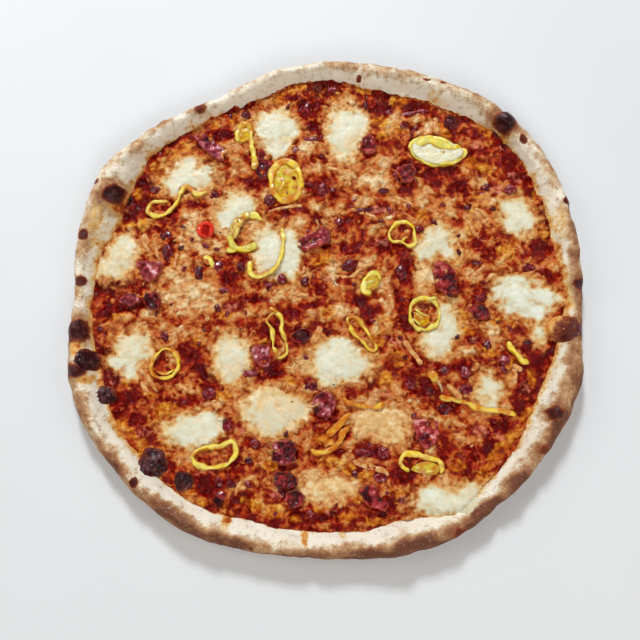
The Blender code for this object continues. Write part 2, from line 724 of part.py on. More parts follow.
def sink_bits(bed, support):
    """Fuses the crumbs and shreds to the bed wherever they are clear of the toppings."""
    draw = random.Random(SEED)
    toppings = support.layers[2:]
    holder = bpy.data.collections.new("bits")
    bpy.context.scene.collection.children.link(holder)
    taken = []
    for x, y, half_length, half_width, turn in CRUMBS:
        spot = at(x, y)
        reach = max(half_length, half_width) * MM + 0.8 * MM
        if free_of_toppings(spot.x, spot.y, reach, toppings, support):
            make_crumb(
                spot.x, spot.y, half_length * MM, half_width * MM, math.radians(turn), draw, holder
            )
            taken.append((spot, reach))
    placed = 0
    while placed < SHRED_COUNT:
        angle = draw.uniform(0, math.tau)
        radius = 0.172 * math.sqrt(draw.random())
        spot = Vector((radius * math.cos(angle), radius * math.sin(angle)))
        length = draw.uniform(*SHRED_LENGTH)
        turn = draw.uniform(0, math.pi)
        bend = draw.uniform(-2.5, 2.5) * MM
        reach = 0.5 * length + 1.5 * MM
        crowded = any((spot - other).length < reach + room for other, room in taken)
        if crowded or not free_of_toppings(spot.x, spot.y, reach, toppings, support):
            continue
        make_shred(spot.x, spot.y, turn, length, bend, holder)
        taken.append((spot, reach))
        placed += 1
    join_bits(bed, holder)


def main():
    clear_scene()
    collection = bpy.data.collections.new(COLLECTION)
    bpy.context.scene.collection.children.link(collection)
    support = Support()
    crust = make_crust(collection)
    support.add(crust)
    bed = make_bed(collection)
    support.add(bed)
    make_mozzarella(collection, support)
    make_ham(collection, support)
    make_peppers(collection, support)
    make_tomato_ring(collection, support)
    sink_bits(bed, support)


if __name__ == "__main__":
    main()
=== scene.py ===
"""Looks of a whole baked pizza: puffed rim, sauce and melted cheese, mozzarella, ham and peppers.

The sizes in the tables are millimetres, measured from a point near the pizza's middle.
"""

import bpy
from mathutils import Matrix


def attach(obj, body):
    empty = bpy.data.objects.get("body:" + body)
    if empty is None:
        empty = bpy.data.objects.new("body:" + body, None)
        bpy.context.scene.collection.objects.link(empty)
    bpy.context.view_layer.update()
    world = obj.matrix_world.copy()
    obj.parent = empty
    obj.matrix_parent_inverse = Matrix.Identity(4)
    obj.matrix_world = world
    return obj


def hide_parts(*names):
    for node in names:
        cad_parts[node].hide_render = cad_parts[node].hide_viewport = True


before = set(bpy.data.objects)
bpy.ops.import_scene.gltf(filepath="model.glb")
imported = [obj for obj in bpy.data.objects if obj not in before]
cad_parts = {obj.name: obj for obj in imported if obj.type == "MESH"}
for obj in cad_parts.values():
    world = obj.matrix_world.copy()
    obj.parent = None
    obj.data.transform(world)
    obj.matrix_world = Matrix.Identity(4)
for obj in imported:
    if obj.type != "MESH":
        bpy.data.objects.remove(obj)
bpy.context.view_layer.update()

import math

import bmesh
import bpy
import numpy as np
from bpy.props import FloatProperty, FloatVectorProperty, IntProperty, PointerProperty
from bpy.types import Operator, Panel, PropertyGroup
from mathutils import Vector
from mathutils.bvhtree import BVHTree

bl_info = {
    "name": "Ham and pepper pizza",
    "version": (1, 0, 0),
    "blender": (4, 5, 0),
    "location": "View3D > Sidebar > Pizza",
    "description": "Builds the looks of a whole baked pizza round its solid model",
    "category": "Add Mesh",
}

MM = 0.001
# The camera that fits the photo, in metres from the same point as the tables, and radians.
CAMERA_PLACE = (-0.00557, -0.11394, 0.53745)
CAMERA_TILT = 0.17533
CAMERA_LENS = 36.905
CAMERA_SENSOR = 36.0
# Spacing of the points along strips and pepper walls.
LINE_STEP = 0.9
# Points that a smooth curve gets between two given ones, before they are spaced evenly.
SPAN_STEPS = 24

# --- measured shapes, the same as the solid model's ---
RIM_CENTRE = (0.5, 1.0)
# Radii every 10 degrees anticlockwise from +X.
RIM_OUTSIDE = (
    210, 213, 217, 221, 223, 221, 216, 212, 208, 208, 206, 200,
    198, 205, 212, 219, 216, 212, 208, 213, 220, 221, 219, 219,
    218, 213, 209, 208, 211, 215, 216, 215, 215, 216, 216, 211,
)  # fmt: skip
RIM_INSIDE = (
    193, 190, 195, 198, 201, 198, 191, 187, 185, 190, 187, 181,
    182, 185, 190, 186, 182, 189, 191, 192, 191, 196, 195, 196,
    194, 188, 186, 185, 187, 187, 198, 194, 192, 186, 187, 190,
)  # fmt: skip
DOUGH_Z = 5.5
# The rim's section from the sauce outwards: share of the rim's width, and height.
RIM_WIDTH = 22
RIM_SECTION = (
    (0.00, 5.5), (0.15, 8.8), (0.35, 16.0), (0.56, 20.0), (0.77, 18.6), (0.93, 13.5), (1.00, 7.5),
    (0.97, 2.0), (0.90, 0.0),
)  # fmt: skip
REFERENCE_CREST = 20.0
# Big blisters of the rim: x, y, radius and height.
BLISTERS = (
    (-175, 81, 13, 5), (150, 147, 14, 5), (-202, -28, 10, 3), (-199, -63, 9, 3), (177, -97, 9, 4),
    (199, 76, 9, 3), (-8, 186, 9, 3), (110, 155, 9, 4),
)  # fmt: skip
# Burnt domes over the rim's inner edge: x, y, half length, half width, turn, height, darkness.
BURNT_DOMES = (
    (193, -28, 13, 12, 0, 5.5, 0.6),
    (-137, -134, 12, 12, 0, 5.0, 0.95),
    (-113, -149, 8.5, 8, 0, 3.6, 0.9),
    (-178, -82, 9, 8, 0, 3.2, 0.9),
    (-192, -55, 9, 9.5, 0, 3.4, 0.95),
)
# Mozzarella pools: how far each is toasted, then its ellipses.
POOLS = (
    (0.12, ((-45, 149, 16, 16, 0), (-42, 131, 9, 10, 0), (-31, 147, 8, 7, 0))),
    (0.22, ((15, 143, 14, 25, 0), (27, 152, 9, 13, 0))),
    (0.15, ((-117, 103, 21, 13, 0), (-128, 96, 9, 10, 0), (-118, 115, 8, 6, 0))),
    (0.10, ((-73, 77, 13, 12, 0), (-83, 66, 9, 9, 0))),
    (0.25, ((-173, 31, 13, 17, -30), (-168, 43, 9, 9, 0), (-181, 22, 12, 6, 10))),
    (0.15, ((-47, 38, 14, 20, 10), (-31, 35, 9, 21, 0))),
    (0.18, ((94, 47, 12, 13, 0), (82, 39, 9, 8, 0), (100, 38, 7, 6, 0))),
    (0.55, ((82, 18, 6, 11, -15),)),
    (0.15, ((162, 65, 14, 13, 0), (157, 77, 11, 7, 0))),
    (0.00, ((157, 0, 19, 15, -20), (179, -2, 13, 8, 0), (170, -13, 10, 8, 0))),
    (0.10, ((173, -30, 5, 9, 10),)),
    (0.20, ((-157, -44, 14, 15, 0), (-168, -55, 10, 6, 0), (-159, -61, 6, 7, 0))),
    (0.25, ((-77, -50, 14, 17, 0), (-78, -62, 11, 10, 0))),
    (0.15, ((12, -55, 23, 15, -8), (2, -57, 12, 17, 0), (10, -42, 9, 8, 0))),
    (0.20, ((91, -37, 13, 13, 0), (99, -22, 8, 15, 0))),
    (0.32, ((-45, -95, 22, 18, -10), (-26, -93, 11, 10, 0))),
    (0.15, ((-108, -110, 20, 13, 0), (-96, -106, 13, 11, 0))),
    (0.62, ((42, -103, 20, 11, 0), (53, -112, 10, 8, 0))),
    (0.20, ((130, -77, 10, 12, 15), (131, -90, 8, 4, 0))),
    (0.12, ((92, -166, 22, 10, -2), (112, -162, 12, 11, 20), (81, -158, 8, 6, 0))),
    (0.60, ((-6, -156, 13, 8, 0), (10, -153, 13, 6, -10))),
)
POOL_SPREAD = 1.06
# Ham slices: thickness, then corners.
HAM = (
    (3.0, ((-114, 139), (-107, 142), (-98, 137), (-89, 128), (-87, 118), (-94, 118), (-103, 126))),
    (2.6, ((-56, 129), (-50, 121), (-46, 113), (-48, 106), (-56, 101), (-60, 108), (-59, 120))),
    (2.8, ((-25, 42), (-22, 48), (-12, 53), (-3, 59), (3, 53), (2, 45), (-8, 41), (-18, 38))),
    (3.4, ((88, 20), (93, 29), (100, 28), (106, 21), (108, 3), (100, 0), (91, 6))),
    (2.8, ((-158, 28), (-148, 29), (-136, 27), (-137, 19), (-146, 11), (-152, 14))),
    (4.0, ((-149, 2), (-140, 3), (-136, -4), (-138, -12), (-146, -12), (-150, -5))),
    (2.8, ((-170, -6), (-165, 1), (-158, 1), (-154, -5), (-161, -9))),
    (4.5, ((-9, -82), (-2, -79), (6, -82), (7, -90), (2, -99), (-7, -98), (-12, -90))),
    (6.5, ((-43, -119), (-34, -117), (-25, -119), (-25, -134), (-34, -137), (-43, -133))),
    (3.6, ((-42, -142), (-33, -141), (-24, -145), (-22, -152), (-30, -154), (-41, -153))),
    (3.2, ((-31, -157), (-24, -155), (-18, -160), (-20, -167), (-28, -169), (-33, -164))),
    (4.2, ((24, -156), (32, -151), (39, -153), (42, -161), (48, -166), (45, -171), (33, -168))),
    (3.2, ((69, -102), (79, -101), (88, -103), (88, -113), (84, -121), (77, -124), (71, -115))),
    (3.0, ((116, -10), (122, -7), (130, -9), (134, -15), (130, -20), (121, -20))),
    (3.6, ((-60, -44), (-53, -40), (-46, -43), (-46, -52), (-47, -59), (-54, -58), (-60, -51))),
    (3.4, ((-29, -33), (-22, -28), (-13, -29), (-13, -35), (-20, -40), (-28, -38))),
    (3.0, ((57, 103), (61, 112), (72, 115), (76, 108), (72, 99), (62, 98))),
    (3.6, ((29, 128), (31, 138), (37, 142), (42, 136), (42, 127), (35, 124))),
)  # fmt: skip
# Pepper rings and strips: closed or not, wall width, browning, then the wall's middle line.
PEPPERS = (
    (False, 4.5, 0.35, ((-75, 134), (-76, 143), (-71, 151), (-66, 148), (-65, 138), (-63, 126),
        (-61, 116), (-62, 110))),
    (True, 5.5, 0.45, ((-22, 99), (-25, 111), (-35, 117), (-44, 110), (-47, 99), (-44, 88),
        (-35, 82), (-25, 87))),
    (True, 3.4, 0.1, ((118, 125), (111, 131), (98, 136), (86, 138), (76, 135), (72, 128), (79, 119),
        (94, 114), (109, 117))),
    (False, 3.0, 0.3, ((-101, 90), (-109, 87), (-118, 94), (-123, 89), (-127, 79), (-135, 71),
        (-143, 68), (-150, 72), (-147, 80), (-134, 82))),
    (False, 4.8, 0.0, ((-54, 65), (-63, 69), (-72, 66), (-79, 57), (-80, 47), (-75, 40), (-66, 40),
        (-58, 44))),
    (False, 3.2, 0.15, ((-38, 58), (-36, 46), (-38, 33), (-44, 22), (-55, 16), (-63, 19),
        (-63, 30))),
    (True, 2.8, 0.3, ((52, 52), (58, 61), (66, 63), (73, 58), (73, 50), (74, 45), (69, 42),
        (62, 46), (55, 46))),
    (False, 5.0, 0.1, ((44, 12), (41, 18), (35, 17), (31, 9), (31, 3), (37, 2))),
    (True, 3.4, 0.1, ((92, -15), (89, -6), (80, -2), (71, -6), (68, -15), (71, -25), (80, -29),
        (89, -24))),
    (True, 3.0, 0.3, ((-49, -20), (-43, -15), (-37, -20), (-37, -29), (-33, -39), (-33, -48),
        (-39, -51), (-43, -43), (-44, -31), (-48, -24))),
    (True, 3.0, 0.45, ((17, -19), (25, -20), (33, -31), (40, -43), (35, -45), (28, -37),
        (20, -28))),
    (True, 3.0, 0.4, ((-131, -44), (-139, -50), (-142, -60), (-137, -67), (-127, -67), (-120, -60),
        (-121, -50))),
    (False, 5.0, 0.3, ((147, -38), (149, -44), (155, -50), (158, -54), (164, -55))),
    (True, 3.6, 0.2, ((-106, -129), (-99, -124), (-86, -122), (-75, -118), (-72, -126), (-78, -135),
        (-90, -138), (-102, -136))),
    (False, 4.6, 0.3, ((90, -143), (89, -134), (80, -131), (70, -128), (61, -128), (58, -136),
        (65, -141))),
    (False, 4.4, 0.4, ((151, -97), (137, -94), (124, -93), (112, -88), (101, -85), (90, -83))),
    (False, 4.0, 0.55, ((-13, -124), (-7, -127), (2, -125), (9, -119), (13, -111), (18, -106))),
    (False, 3.4, 0.6, ((13, -83), (17, -88), (28, -90), (39, -91), (47, -88))),
)  # fmt: skip
TOMATO_RING = (-101.5, 56, 5.6, 3.0)


# --- colour areas ---
def graded(groups):
    """Areas listed under their strength, as (x, y, half length, half width, turn, strength).

    A row in a group may leave out its turn, which is then 0 degrees.
    """
    return [
        (*row, 0)[:5] + (strength,) for strength, group in groups.items() for row in group
    ]


# Where sauce shows, where cheese covers it, where oil is golden, and where pink painted highlights
# of wet sauce gather.
SAUCE_AREAS = graded({
    1.0: ((-163, 73, 9, 9), (-20, 173, 8, 7), (-178, 10, 12, 8), (45, 169, 13, 10),
        (36, 131, 8, 11), (153, 117, 8, 10), (160, 104, 9, 8, -30), (176, 43, 9, 12),
        (-178, -12, 8, 10), (-164, -89, 8, 8), (-110, -46, 9, 9), (-113, -87, 12, 5, 10),
        (-56, -27, 9, 5), (-62, -63, 10, 3), (-94, -151, 11, 8), (-67, -162, 9, 4, 10),
        (31, -72, 13, 6, 12), (181, -42, 9, 12), (167, -57, 9, 7, 30), (115, -136, 9, 7, 40),
        (60, -164, 12, 5), (5, -98, 8, 7)),
    0.9: ((-149, 99, 6, 8), (-91, 143, 9, 8), (-3, 178, 8, 6), (-46, 12, 9, 4), (72, 166, 8, 6),
        (5, 183, 9, 5), (69, 110, 10, 9), (111, 96, 10, 8), (132, 127, 7, 6), (184, 69, 6, 12),
        (-171, -68, 9, 7), (-152, -101, 9, 7, -20), (-99, -61, 8, 8), (-79, -104, 5, 8),
        (-70, -23, 9, 4), (-20, -33, 10, 5), (-11, -70, 7, 5), (-72, -140, 6, 6), (-4, -98, 8, 8),
        (62, -21, 8, 7), (68, -73, 8, 6), (97, -92, 9, 6), (158, -64, 7, 6), (159, -77, 6, 7),
        (155, -90, 5, 8), (129, -122, 9, 7, 40), (115, -124, 8, 6), (70, -112, 8, 8),
        (65, -146, 10, 6)),
    0.8: ((-157, 99, 3, 7), (-138, 130, 10, 4, 45), (-55, 108, 7, 10), (-36, 74, 16, 5),
        (-100, 18, 9, 6, -30), (-82, 14, 9, 8), (-80, 5, 9, 5), (87, 163, 8, 5, -20),
        (86, 109, 7, 8), (104, 109, 10, 8), (121, 143, 7, 6), (149, 131, 6, 8), (167, 98, 6, 6),
        (174, 84, 4, 7), (63, 27, 4, 9), (60, 41, 8, 5), (104, 8, 7, 6), (135, 5, 8, 5),
        (-6, 95, 6, 12), (-160, -8, 12, 6), (-178, -46, 5, 6), (-149, -84, 8, 6),
        (-143, -112, 8, 6), (-115, -61, 9, 7), (-94, -78, 9, 7), (-63, -106, 8, 8),
        (-58, -118, 7, 5), (-71, -95, 6, 4), (-87, -21, 8, 4), (-14, -8, 10, 4), (-18, -175, 10, 4),
        (-4, -177, 8, 3), (26, -4, 8, 6), (38, -12, 9, 5, 20), (67, -28, 5, 5), (62, -62, 10, 9),
        (75, -58, 6, 5), (22, -78, 8, 4), (80, -77, 7, 5), (98, -61, 8, 5), (114, -66, 6, 10),
        (145, -50, 8, 5), (166, -44, 7, 6), (138, -104, 8, 5), (29, -127, 9, 4), (44, -127, 7, 5),
        (12, -183, 9, 3)),
    0.7: ((-142, 111, 5, 8, -30), (-152, 117, 4, 9, -40), (-115, 80, 8, 6), (-132, 38, 6, 12),
        (-160, 8, 12, 6), (55, 132, 10, 5), (96, 98, 8, 6), (166, 33, 8, 6), (143, 40, 8, 5),
        (128, 45, 7, 9), (113, 65, 4, 8), (-177, -61, 5, 6), (-89, -95, 9, 4), (-78, -9, 9, 5),
        (-41, -61, 12, 6), (-52, -55, 8, 8), (-80, -147, 8, 6), (-33, -135, 12, 14),
        (-26, -160, 10, 8), (-1, -26, 4, 5), (127, -8, 8, 10), (157, -29, 7, 4), (140, -114, 7, 5),
        (104, -143, 8, 4), (92, -128, 7, 5), (54, -144, 8, 5), (36, -160, 9, 10), (15, -112, 7, 5),
        (10, -128, 8, 4), (22, -178, 6, 3), (45, -173, 7, 4)),
    0.6: ((-110, 118, 8, 7), (-88, 108, 7, 12), (-12, 157, 7, 8), (-127, 70, 8, 6), (-88, 29, 6, 4),
        (-5, 140, 6, 8), (50, 40, 7, 6), (45, 74, 10, 5), (46, 46, 8, 5), (88, 14, 6, 6),
        (62, 12, 8, 6), (181, 18, 5, 8), (-10, 120, 10, 6), (-60, -2, 9, 4), (-24, -17, 8, 5),
        (-146, -135, 6, 8), (-125, -122, 6, 5), (63, -5, 7, 8), (119, -36, 5, 4), (75, -150, 8, 5),
        (22, -143, 5, 4), (2, -172, 10, 4), (88, -113, 7, 6)),
    0.5: ((-66, 100, 10, 8), (22, 55, 9, 8), (34, 65, 8, 6), (18, 41, 8, 5), (-102, -135, 5, 6)),
})  # fmt: skip
CHEESE_AREAS = graded({
    1.0: ((-88, 66, 14, 12), (-115, 5, 22, 18), (-105, -6, 20, 12), (40, 103, 14, 10, -20),
        (44, -102, 24, 14)),
    0.9: ((-113, 52, 10, 10), (34, 29, 9, 3.5, 25), (82, 12, 6, 10), (-12, -146, 10, 9),
        (-5, -159, 9, 8), (104, -4, 6, 8), (5, -150, 16, 8, -10), (18, -153, 8, 5)),
    0.8: ((-110, 68, 12, 8), (-100, 42, 14, 8), (-118, 40, 8, 7), (46, 118, 9, 8), (87, 149, 6, 6),
        (125, 66, 9, 9), (9, 22, 9, 5), (-166, -18, 8, 4), (-112, -130, 8, 6), (53, -4, 4, 8),
        (105, -115, 8, 3, -10), (90, -153, 14, 8)),
    0.7: ((-73, 112, 7, 8), (-8, 111, 12, 5), (-20, 60, 10, 7), (-126, 30, 4, 8), (28, 82, 8, 5),
        (60, 84, 10, 4, -10), (134, 82, 9, 6), (-118, -33, 12, 6), (-104, -36, 8, 5),
        (-17, -50, 7, 6), (-22, -44, 6, 4), (-8, -33, 4, 9, -20), (-92, -89, 9, 3),
        (-50, -96, 28, 20), (35, -134, 12, 3, -10), (105, -25, 5, 10)),
    0.6: ((-80, 131, 9, 7), (-15, 132, 8, 8), (-12, 78, 10, 4), (-60, 55, 8, 8), (2, 74, 8, 5),
        (-95, 82, 10, 4), (-142, 17, 9, 3), (-55, 169, 9, 4, 20), (24, 105, 9, 5),
        (60, 152, 10, 10), (78, 86, 8, 8), (97, 80, 9, 6), (46, 8, 9, 5), (114, 54, 5, 8),
        (112, 36, 7, 8), (120, 18, 8, 5), (147, 35, 6, 6), (128, 98, 8, 4), (50, 128, 7, 4),
        (-88, 0, 10, 8), (-144, -14, 9, 5), (-29, -61, 9, 4), (-18, -63, 8, 5), (-20, -3, 9, 4),
        (-48, -127, 6, 8), (9, -12, 9, 6), (101, -50, 8, 4), (114, -44, 9, 3.5, -20),
        (98, -106, 8, 4), (20, -90, 14, 4), (88, -145, 10, 5), (139, -92, 10, 3), (148, -66, 4, 10),
        (118, -116, 5, 5)),
    0.5: ((-121, 133, 8, 5), (-30, 4, 12, 6), (20, 174, 9, 4), (100, 72, 12, 5), (174, 22, 8, 5),
        (165, 25, 8, 5), (-74, -13, 7, 3), (-62, -150, 9, 7, 30), (46, -22, 7, 9), (85, -100, 7, 6),
        (8, -163, 8, 4), (43, -80, 8, 4)),
    0.4: ((-152, 42, 6, 10), (5, 50, 10, 5), (133, -28, 10, 5)),
})  # fmt: skip
GOLD_AREAS = graded({
    1.0: ((-123, 130, 7, 4, -10), (-43, 176, 8, 4, 10), (-30, 182, 6, 3, 20), (63, 173, 8, 6),
        (48, 140, 5, 4), (96, 150, 4, 9), (136, 111, 5, 5), (-131, -96, 8, 7), (-98, -165, 5, 3),
        (-40, -173, 8, 4), (47, -69, 6, 5), (38, -179, 8, 3, 5), (148, -112, 4, 8, -40),
        (135, -126, 4, 10, -45)),
    0.9: ((-131, 124, 5, 4, 30), (-137, 114, 4, 5), (-145, 108, 6, 6), (-153, 61, 5, 5),
        (-97, 150, 6, 3, 30), (-23, 187, 5, 3), (-6, 29, 6, 6), (127, 115, 8, 5, -30),
        (131, 82, 8, 5), (139, -124, 11, 4, 49), (-164, -104, 5, 4), (-145, -124, 4, 8),
        (-84, -81, 7, 4), (-82, -167, 4, 3), (-58, -166, 8, 4, -20), (144, -23, 9, 4, -10),
        (15, -139, 8, 6), (5, -155, 4, 4), (121, -145, 7, 4, 30), (160, -98, 4, 7, -30)),
    0.8: ((-160, 90, 4, 5), (-7, 185, 6, 6), (-53, 19, 6, 3), (33, 182, 6, 3), (45, 154, 9, 5),
        (82, 70, 6, 4), (150, 37, 8, 6), (112, 35, 6, 9), (87, 57, 7, 3, 20), (-2, 33, 5, 5),
        (182, 56, 4, 7), (137, 146, 6, 5, -40), (-187, -62, 5, 4), (-162, -70, 5, 4),
        (-106, -40, 5, 4), (-9, -36, 4, 6), (-46, -137, 6, 5), (-7, -116, 5, 4), (-25, -177, 5, 3),
        (-108, -154, 4, 6), (58, -52, 8, 6), (148, -60, 5, 10), (130, -47, 10, 3, -10),
        (30, -145, 7, 5), (0, -115, 6, 4), (15, -176, 8, 3), (165, -68, 4, 7)),
    0.7: ((-80, 155, 4, 4), (-127, 28, 4, 8), (10, 175, 6, 5), (60, 146, 6, 8), (101, 143, 5, 5),
        (127, -137, 9, 3, 44), (178, 90, 3, 8, -20), (-171, -18, 8, 4), (-155, -112, 4, 6, 30),
        (-129, -120, 5, 6), (-140, -82, 6, 4), (-83, -16, 6, 4), (-51, -39, 7, 3, 20),
        (-30, -70, 6, 4), (47, -24, 7, 8), (42, -38, 7, 5), (110, -17, 6, 6), (25, -162, 6, 4),
        (-4, -170, 8, 3), (104, -137, 6, 5)),
    0.6: ((-165, 60, 6, 4), (124, 66, 8, 8), (120, 55, 4, 9), (155, 45, 5, 6), (-122, -90, 5, 4),
        (2, -14, 8, 5), (112, -30, 7, 4), (2, -134, 7, 5), (56, -158, 8, 4)),
})  # fmt: skip
PINK_HIGHLIGHT_AREAS = graded({
    1.0: ((46, 74, 12, 5), (129, 132, 7, 4), (72, -101, 9, 5), (122, -110, 8, 5)),
    0.9: ((143, 91, 7, 4), (-144, -112, 8, 5), (-38, -159, 7, 4), (131, -38, 6, 4), (43, -80, 8, 3),
        (159, -76, 5, 6)),
    0.8: ((-68, 161, 9, 4, 10), (-118, -114, 9, 4), (138, -114, 6, 4), (118, -38, 5, 4),
        (54, -38, 7, 4), (72, -157, 8, 3), (-183, 16, 7, 4), (-80, -9, 10, 4), (46, 46, 8, 5),
        (61, -160, 7, 4)),
    0.7: ((-142, 14, 10, 4), (160, 104, 7, 6), (-171, -70, 8, 6), (-92, -89, 10, 3),
        (2, -172, 8, 3), (174, 21, 8, 5), (-164, -3, 8, 5), (1, 14, 6, 4), (-63, -106, 7, 7),
        (18, 112, 10, 3), (-8, 116, 9, 3)),
    0.6: ((30, 82, 7, 4), (126, 42, 5, 7), (-184, -38, 5, 5), (88, -45, 6, 6), (152, 130, 5, 5),
        (-98, -143, 8, 4), (-20, -168, 6, 4), (-28, 163, 8, 4)),
    0.5: ((64, 108, 7, 6),),
    0.4: ((180, -2, 8, 6),),
})  # fmt: skip
# Burnt places, and toasted patches of the rim.
CHARS = graded({
    1.0: ((-174, 82, 10, 7, 20), (151, 148, 8, 10)),
    0.95: ((-200, -31, 8, 8),),
    0.9: ((208, 8, 6, 5), (177, -97, 5, 5)),
    0.85: ((-199, -63, 7, 5),),
    0.8: ((161, 153, 2, 2), (199, 78, 4, 3), (205, 73, 3, 3), (-148, -149, 3, 3), (-199, 48, 4, 4)),
    0.7: ((-201, 10, 4, 4), (-190, 93, 2, 2), (166, 133, 2, 4, 20)),
    0.6: ((-58, -198, 2, 2), (-85, -166, 4, 4)),
    0.55: ((100, -187, 6, 5),),
    0.5: ((-108, 161, 5, 3, 20), (28, 191, 2, 2), (86, 187, 3, 2), (168, -125, 4, 4)),
    0.45: ((100, 185, 3, 2),),
})  # fmt: skip
TOASTS = graded({
    0.9: ((124, -172, 16, 9, 25),),
    0.8: ((-118, -165, 16, 9, -35), (70, -196, 18, 7, 8)),
    0.7: ((152, -152, 10, 8, 40), (40, -204, 16, 6), (-75, -194, 16, 7, -15),
        (182, -112, 9, 18, -20)),
    0.6: ((-142, 146, 12, 7, 45), (-110, 166, 12, 6, 30), (-165, -132, 10, 9),
        (200, -72, 9, 26, 10)),
    0.5: ((112, 184, 14, 6, -28), (166, 140, 10, 5, -50), (-192, 38, 10, 14), (200, 32, 8, 6),
        (-25, -205, 30, 5)),
    0.45: ((184, 110, 10, 5, -65),),
    0.4: ((-160, 128, 8, 7, 40), (20, 200, 16, 5), (202, 50, 10, 6, 90), (190, 70, 6, 6),
        (-72, 184, 12, 5, 15), (-195, -100, 9, 16, 20), (-190, 60, 8, 8)),
    0.35: ((125, 180, 14, 7, -35),),
    0.3: ((180, 122, 8, 12, 30),),
    0.25: ((60, 196, 20, 6, -10),),
})  # fmt: skip
# Small browned bits of ham: x, y, half length, half width, and the turn where there is one.
BITS = (
    (-48, 82, 5, 5), (10, 64, 4.5, 4), (-3, 92, 5, 8), (34, 133, 4, 5), (-27, 128, 3, 3),
    (135, 94, 5, 3.5), (48, 91, 5, 2.5), (-106, 20, 4.5, 7), (-95, 87, 4, 4), (-18, 12, 4, 4),
    (-37, 14, 4, 4.5), (-48, 8, 5, 4), (-89, 26, 6, 5), (-71, 24, 4, 4), (-119, 24, 4, 3),
    (-133, 37, 5, 7.5), (-134, 52, 6, 5), (-185, -27, 3.5, 2.5), (-132, -33, 4, 4),
    (-95, -80, 6, 5, 20), (62, 20, 5, 7.5), (-12, -75, 6, 4), (28, -127, 7, 3.5), (45, -127, 5, 5),
    (22, -143, 3, 3), (42, -146, 6, 3.5), (67, -74, 5, 3), (83, -79, 4, 4), (95, -62, 5, 4),
    (96, -93, 7, 5, -20), (112, -77, 6, 5), (112, -63, 4, 5), (145, -53, 6, 4, 20),
    (131, -41, 4, 4), (163, -39, 4, 2), (-57, -120, 4, 4), (-62, -133, 3, 3), (-83, -160, 5, 4),
    (-75, -151, 4, 3), (-85, -149, 4, 4), (-13, -173, 3, 3), (-70, 160, 4, 4), (125, 28, 4, 2),
    (78, 57, 4, 3), (5, 184, 4, 3), (-85, 5, 4, 3), (-80, -107, 4, 7), (-62, -64, 7, 3),
    (19, 26, 7, 5, 30), (127, -2, 6, 3, 20), (79, -115, 3, 7, 20), (-17, 168, 4, 8),
    (168, 24, 6, 4, -10), (155, 92, 6, 4), (-146, 92, 5, 4), (76, 162, 13, 2, 8),
    (76, 148, 2, 10, -25), (-14, 138, 9, 2), (35, 74, 12, 3, 5), (108, 152, 6, 5),
)  # fmt: skip
# Browned onion-like strips: width, then the middle line.
STRIPS = (
    (3.5, ((-85, 128), (-89, 123), (-88, 118))),
    (4.0, ((-152, 51), (-150, 46), (-152, 41))),
    (3.5, ((0, 112), (8, 110), (15, 105))),
    (5.0, ((95, 159), (94, 150), (96, 142))),
    (3.5, ((52, 82), (58, 85), (70, 80), (74, 76))),
    (3.5, ((20, 75), (35, 70), (42, 66))),
    (3.5, ((4, 17), (12, 16), (22, 17), (27, 22), (35, 26), (40, 28))),
    (3.5, ((118, 14), (125, 20), (133, 26))),
    (3.0, ((131, 12), (138, 18), (140, 15))),
    (3.0, ((-150, -70), (-146, -76), (-142, -80))),
    (3.0, ((-144, -68), (-139, -75), (-136, -79))),
    (6.0, ((-12, -40), (-8, -33), (-5, -25))),
    (4.5, ((63, -37), (70, -48), (77, -57))),
    (4.0, ((150, -60), (152, -66), (149, -72))),
    (4.0, ((20, -133), (30, -137), (45, -141), (48, -145))),
    (4.5, ((100, -102), (106, -105), (112, -106))),
    (5.0, ((100, -112), (108, -116), (118, -122))),
    (3.0, ((-72, -160), (-68, -150), (-60, -146), (-55, -146))),
    (3.5, ((-25, 0), (-20, 1), (-14, 0))),
    (3.0, ((-50, 72), (-36, 76), (-20, 78))),
    (4.5, ((52, 2), (53, -5), (53, -12))),
    (4.5, ((97, -73), (103, -80), (108, -85))),
    (4.5, ((150, -57), (155, -60), (158, -62))),
    (3.0, ((-120, -72), (-112, -78), (-104, -79))),
    (3.5, ((-155, 50), (-151, 42), (-147, 37))),
    (3.0, ((-144, 48), (-142, 39), (-140, 32))),
    (3.5, ((-124, 36), (-126, 29), (-126, 22))),
    (4.0, ((115, 69), (120, 62), (124, 53), (128, 52))),
    (3.5, ((125, 75), (131, 73), (134, 66))),
    (3.5, ((109, 46), (113, 37), (111, 29))),
)


# --- numbers ---
NEIGHBOURS = (-1, 0, 1, 2)


def curve(before, here, after, beyond, share):
    """A smooth curve from here to after that heeds the values on their far sides."""
    return 0.5 * (
        2 * here
        + (after - before) * share
        + (2 * before - 5 * here + 4 * after - beyond) * share**2
        + (3 * here - before - 3 * after + beyond) * share**3
    )


def around(table, angle):
    """Values round the circle through a table of equal steps, as a smooth curve."""
    count = len(table)
    table = np.asarray(table, float)
    place = np.mod(np.asarray(angle) / math.tau * count, count)
    index = place.astype(int)
    return curve(*(table[(index + k) % count] for k in NEIGHBOURS), place - index)


def outline_middle():
    """Where the middle of the rim's outside lies from the rim's centre."""
    angles = np.arange(120) / 120 * math.tau
    radii = around(RIM_OUTSIDE, angles)
    xs, ys = radii * np.cos(angles), radii * np.sin(angles)
    return (xs.min() + xs.max()) / 2, (ys.min() + ys.max()) / 2


MIDDLE = outline_middle()
ORIGIN = (MIDDLE[0] + RIM_CENTRE[0], MIDDLE[1] + RIM_CENTRE[1])


def polar(x, y):
    """Radius and angle about the rim's centre."""
    x, y = x - RIM_CENTRE[0], y - RIM_CENTRE[1]
    return np.hypot(x, y), np.arctan2(y, x)


def ease(value, low, high):
    """A smooth step from 0 at low to 1 at high."""
    share = np.clip((value - low) / (high - low), 0, 1)
    return share * share * (3 - 2 * share)


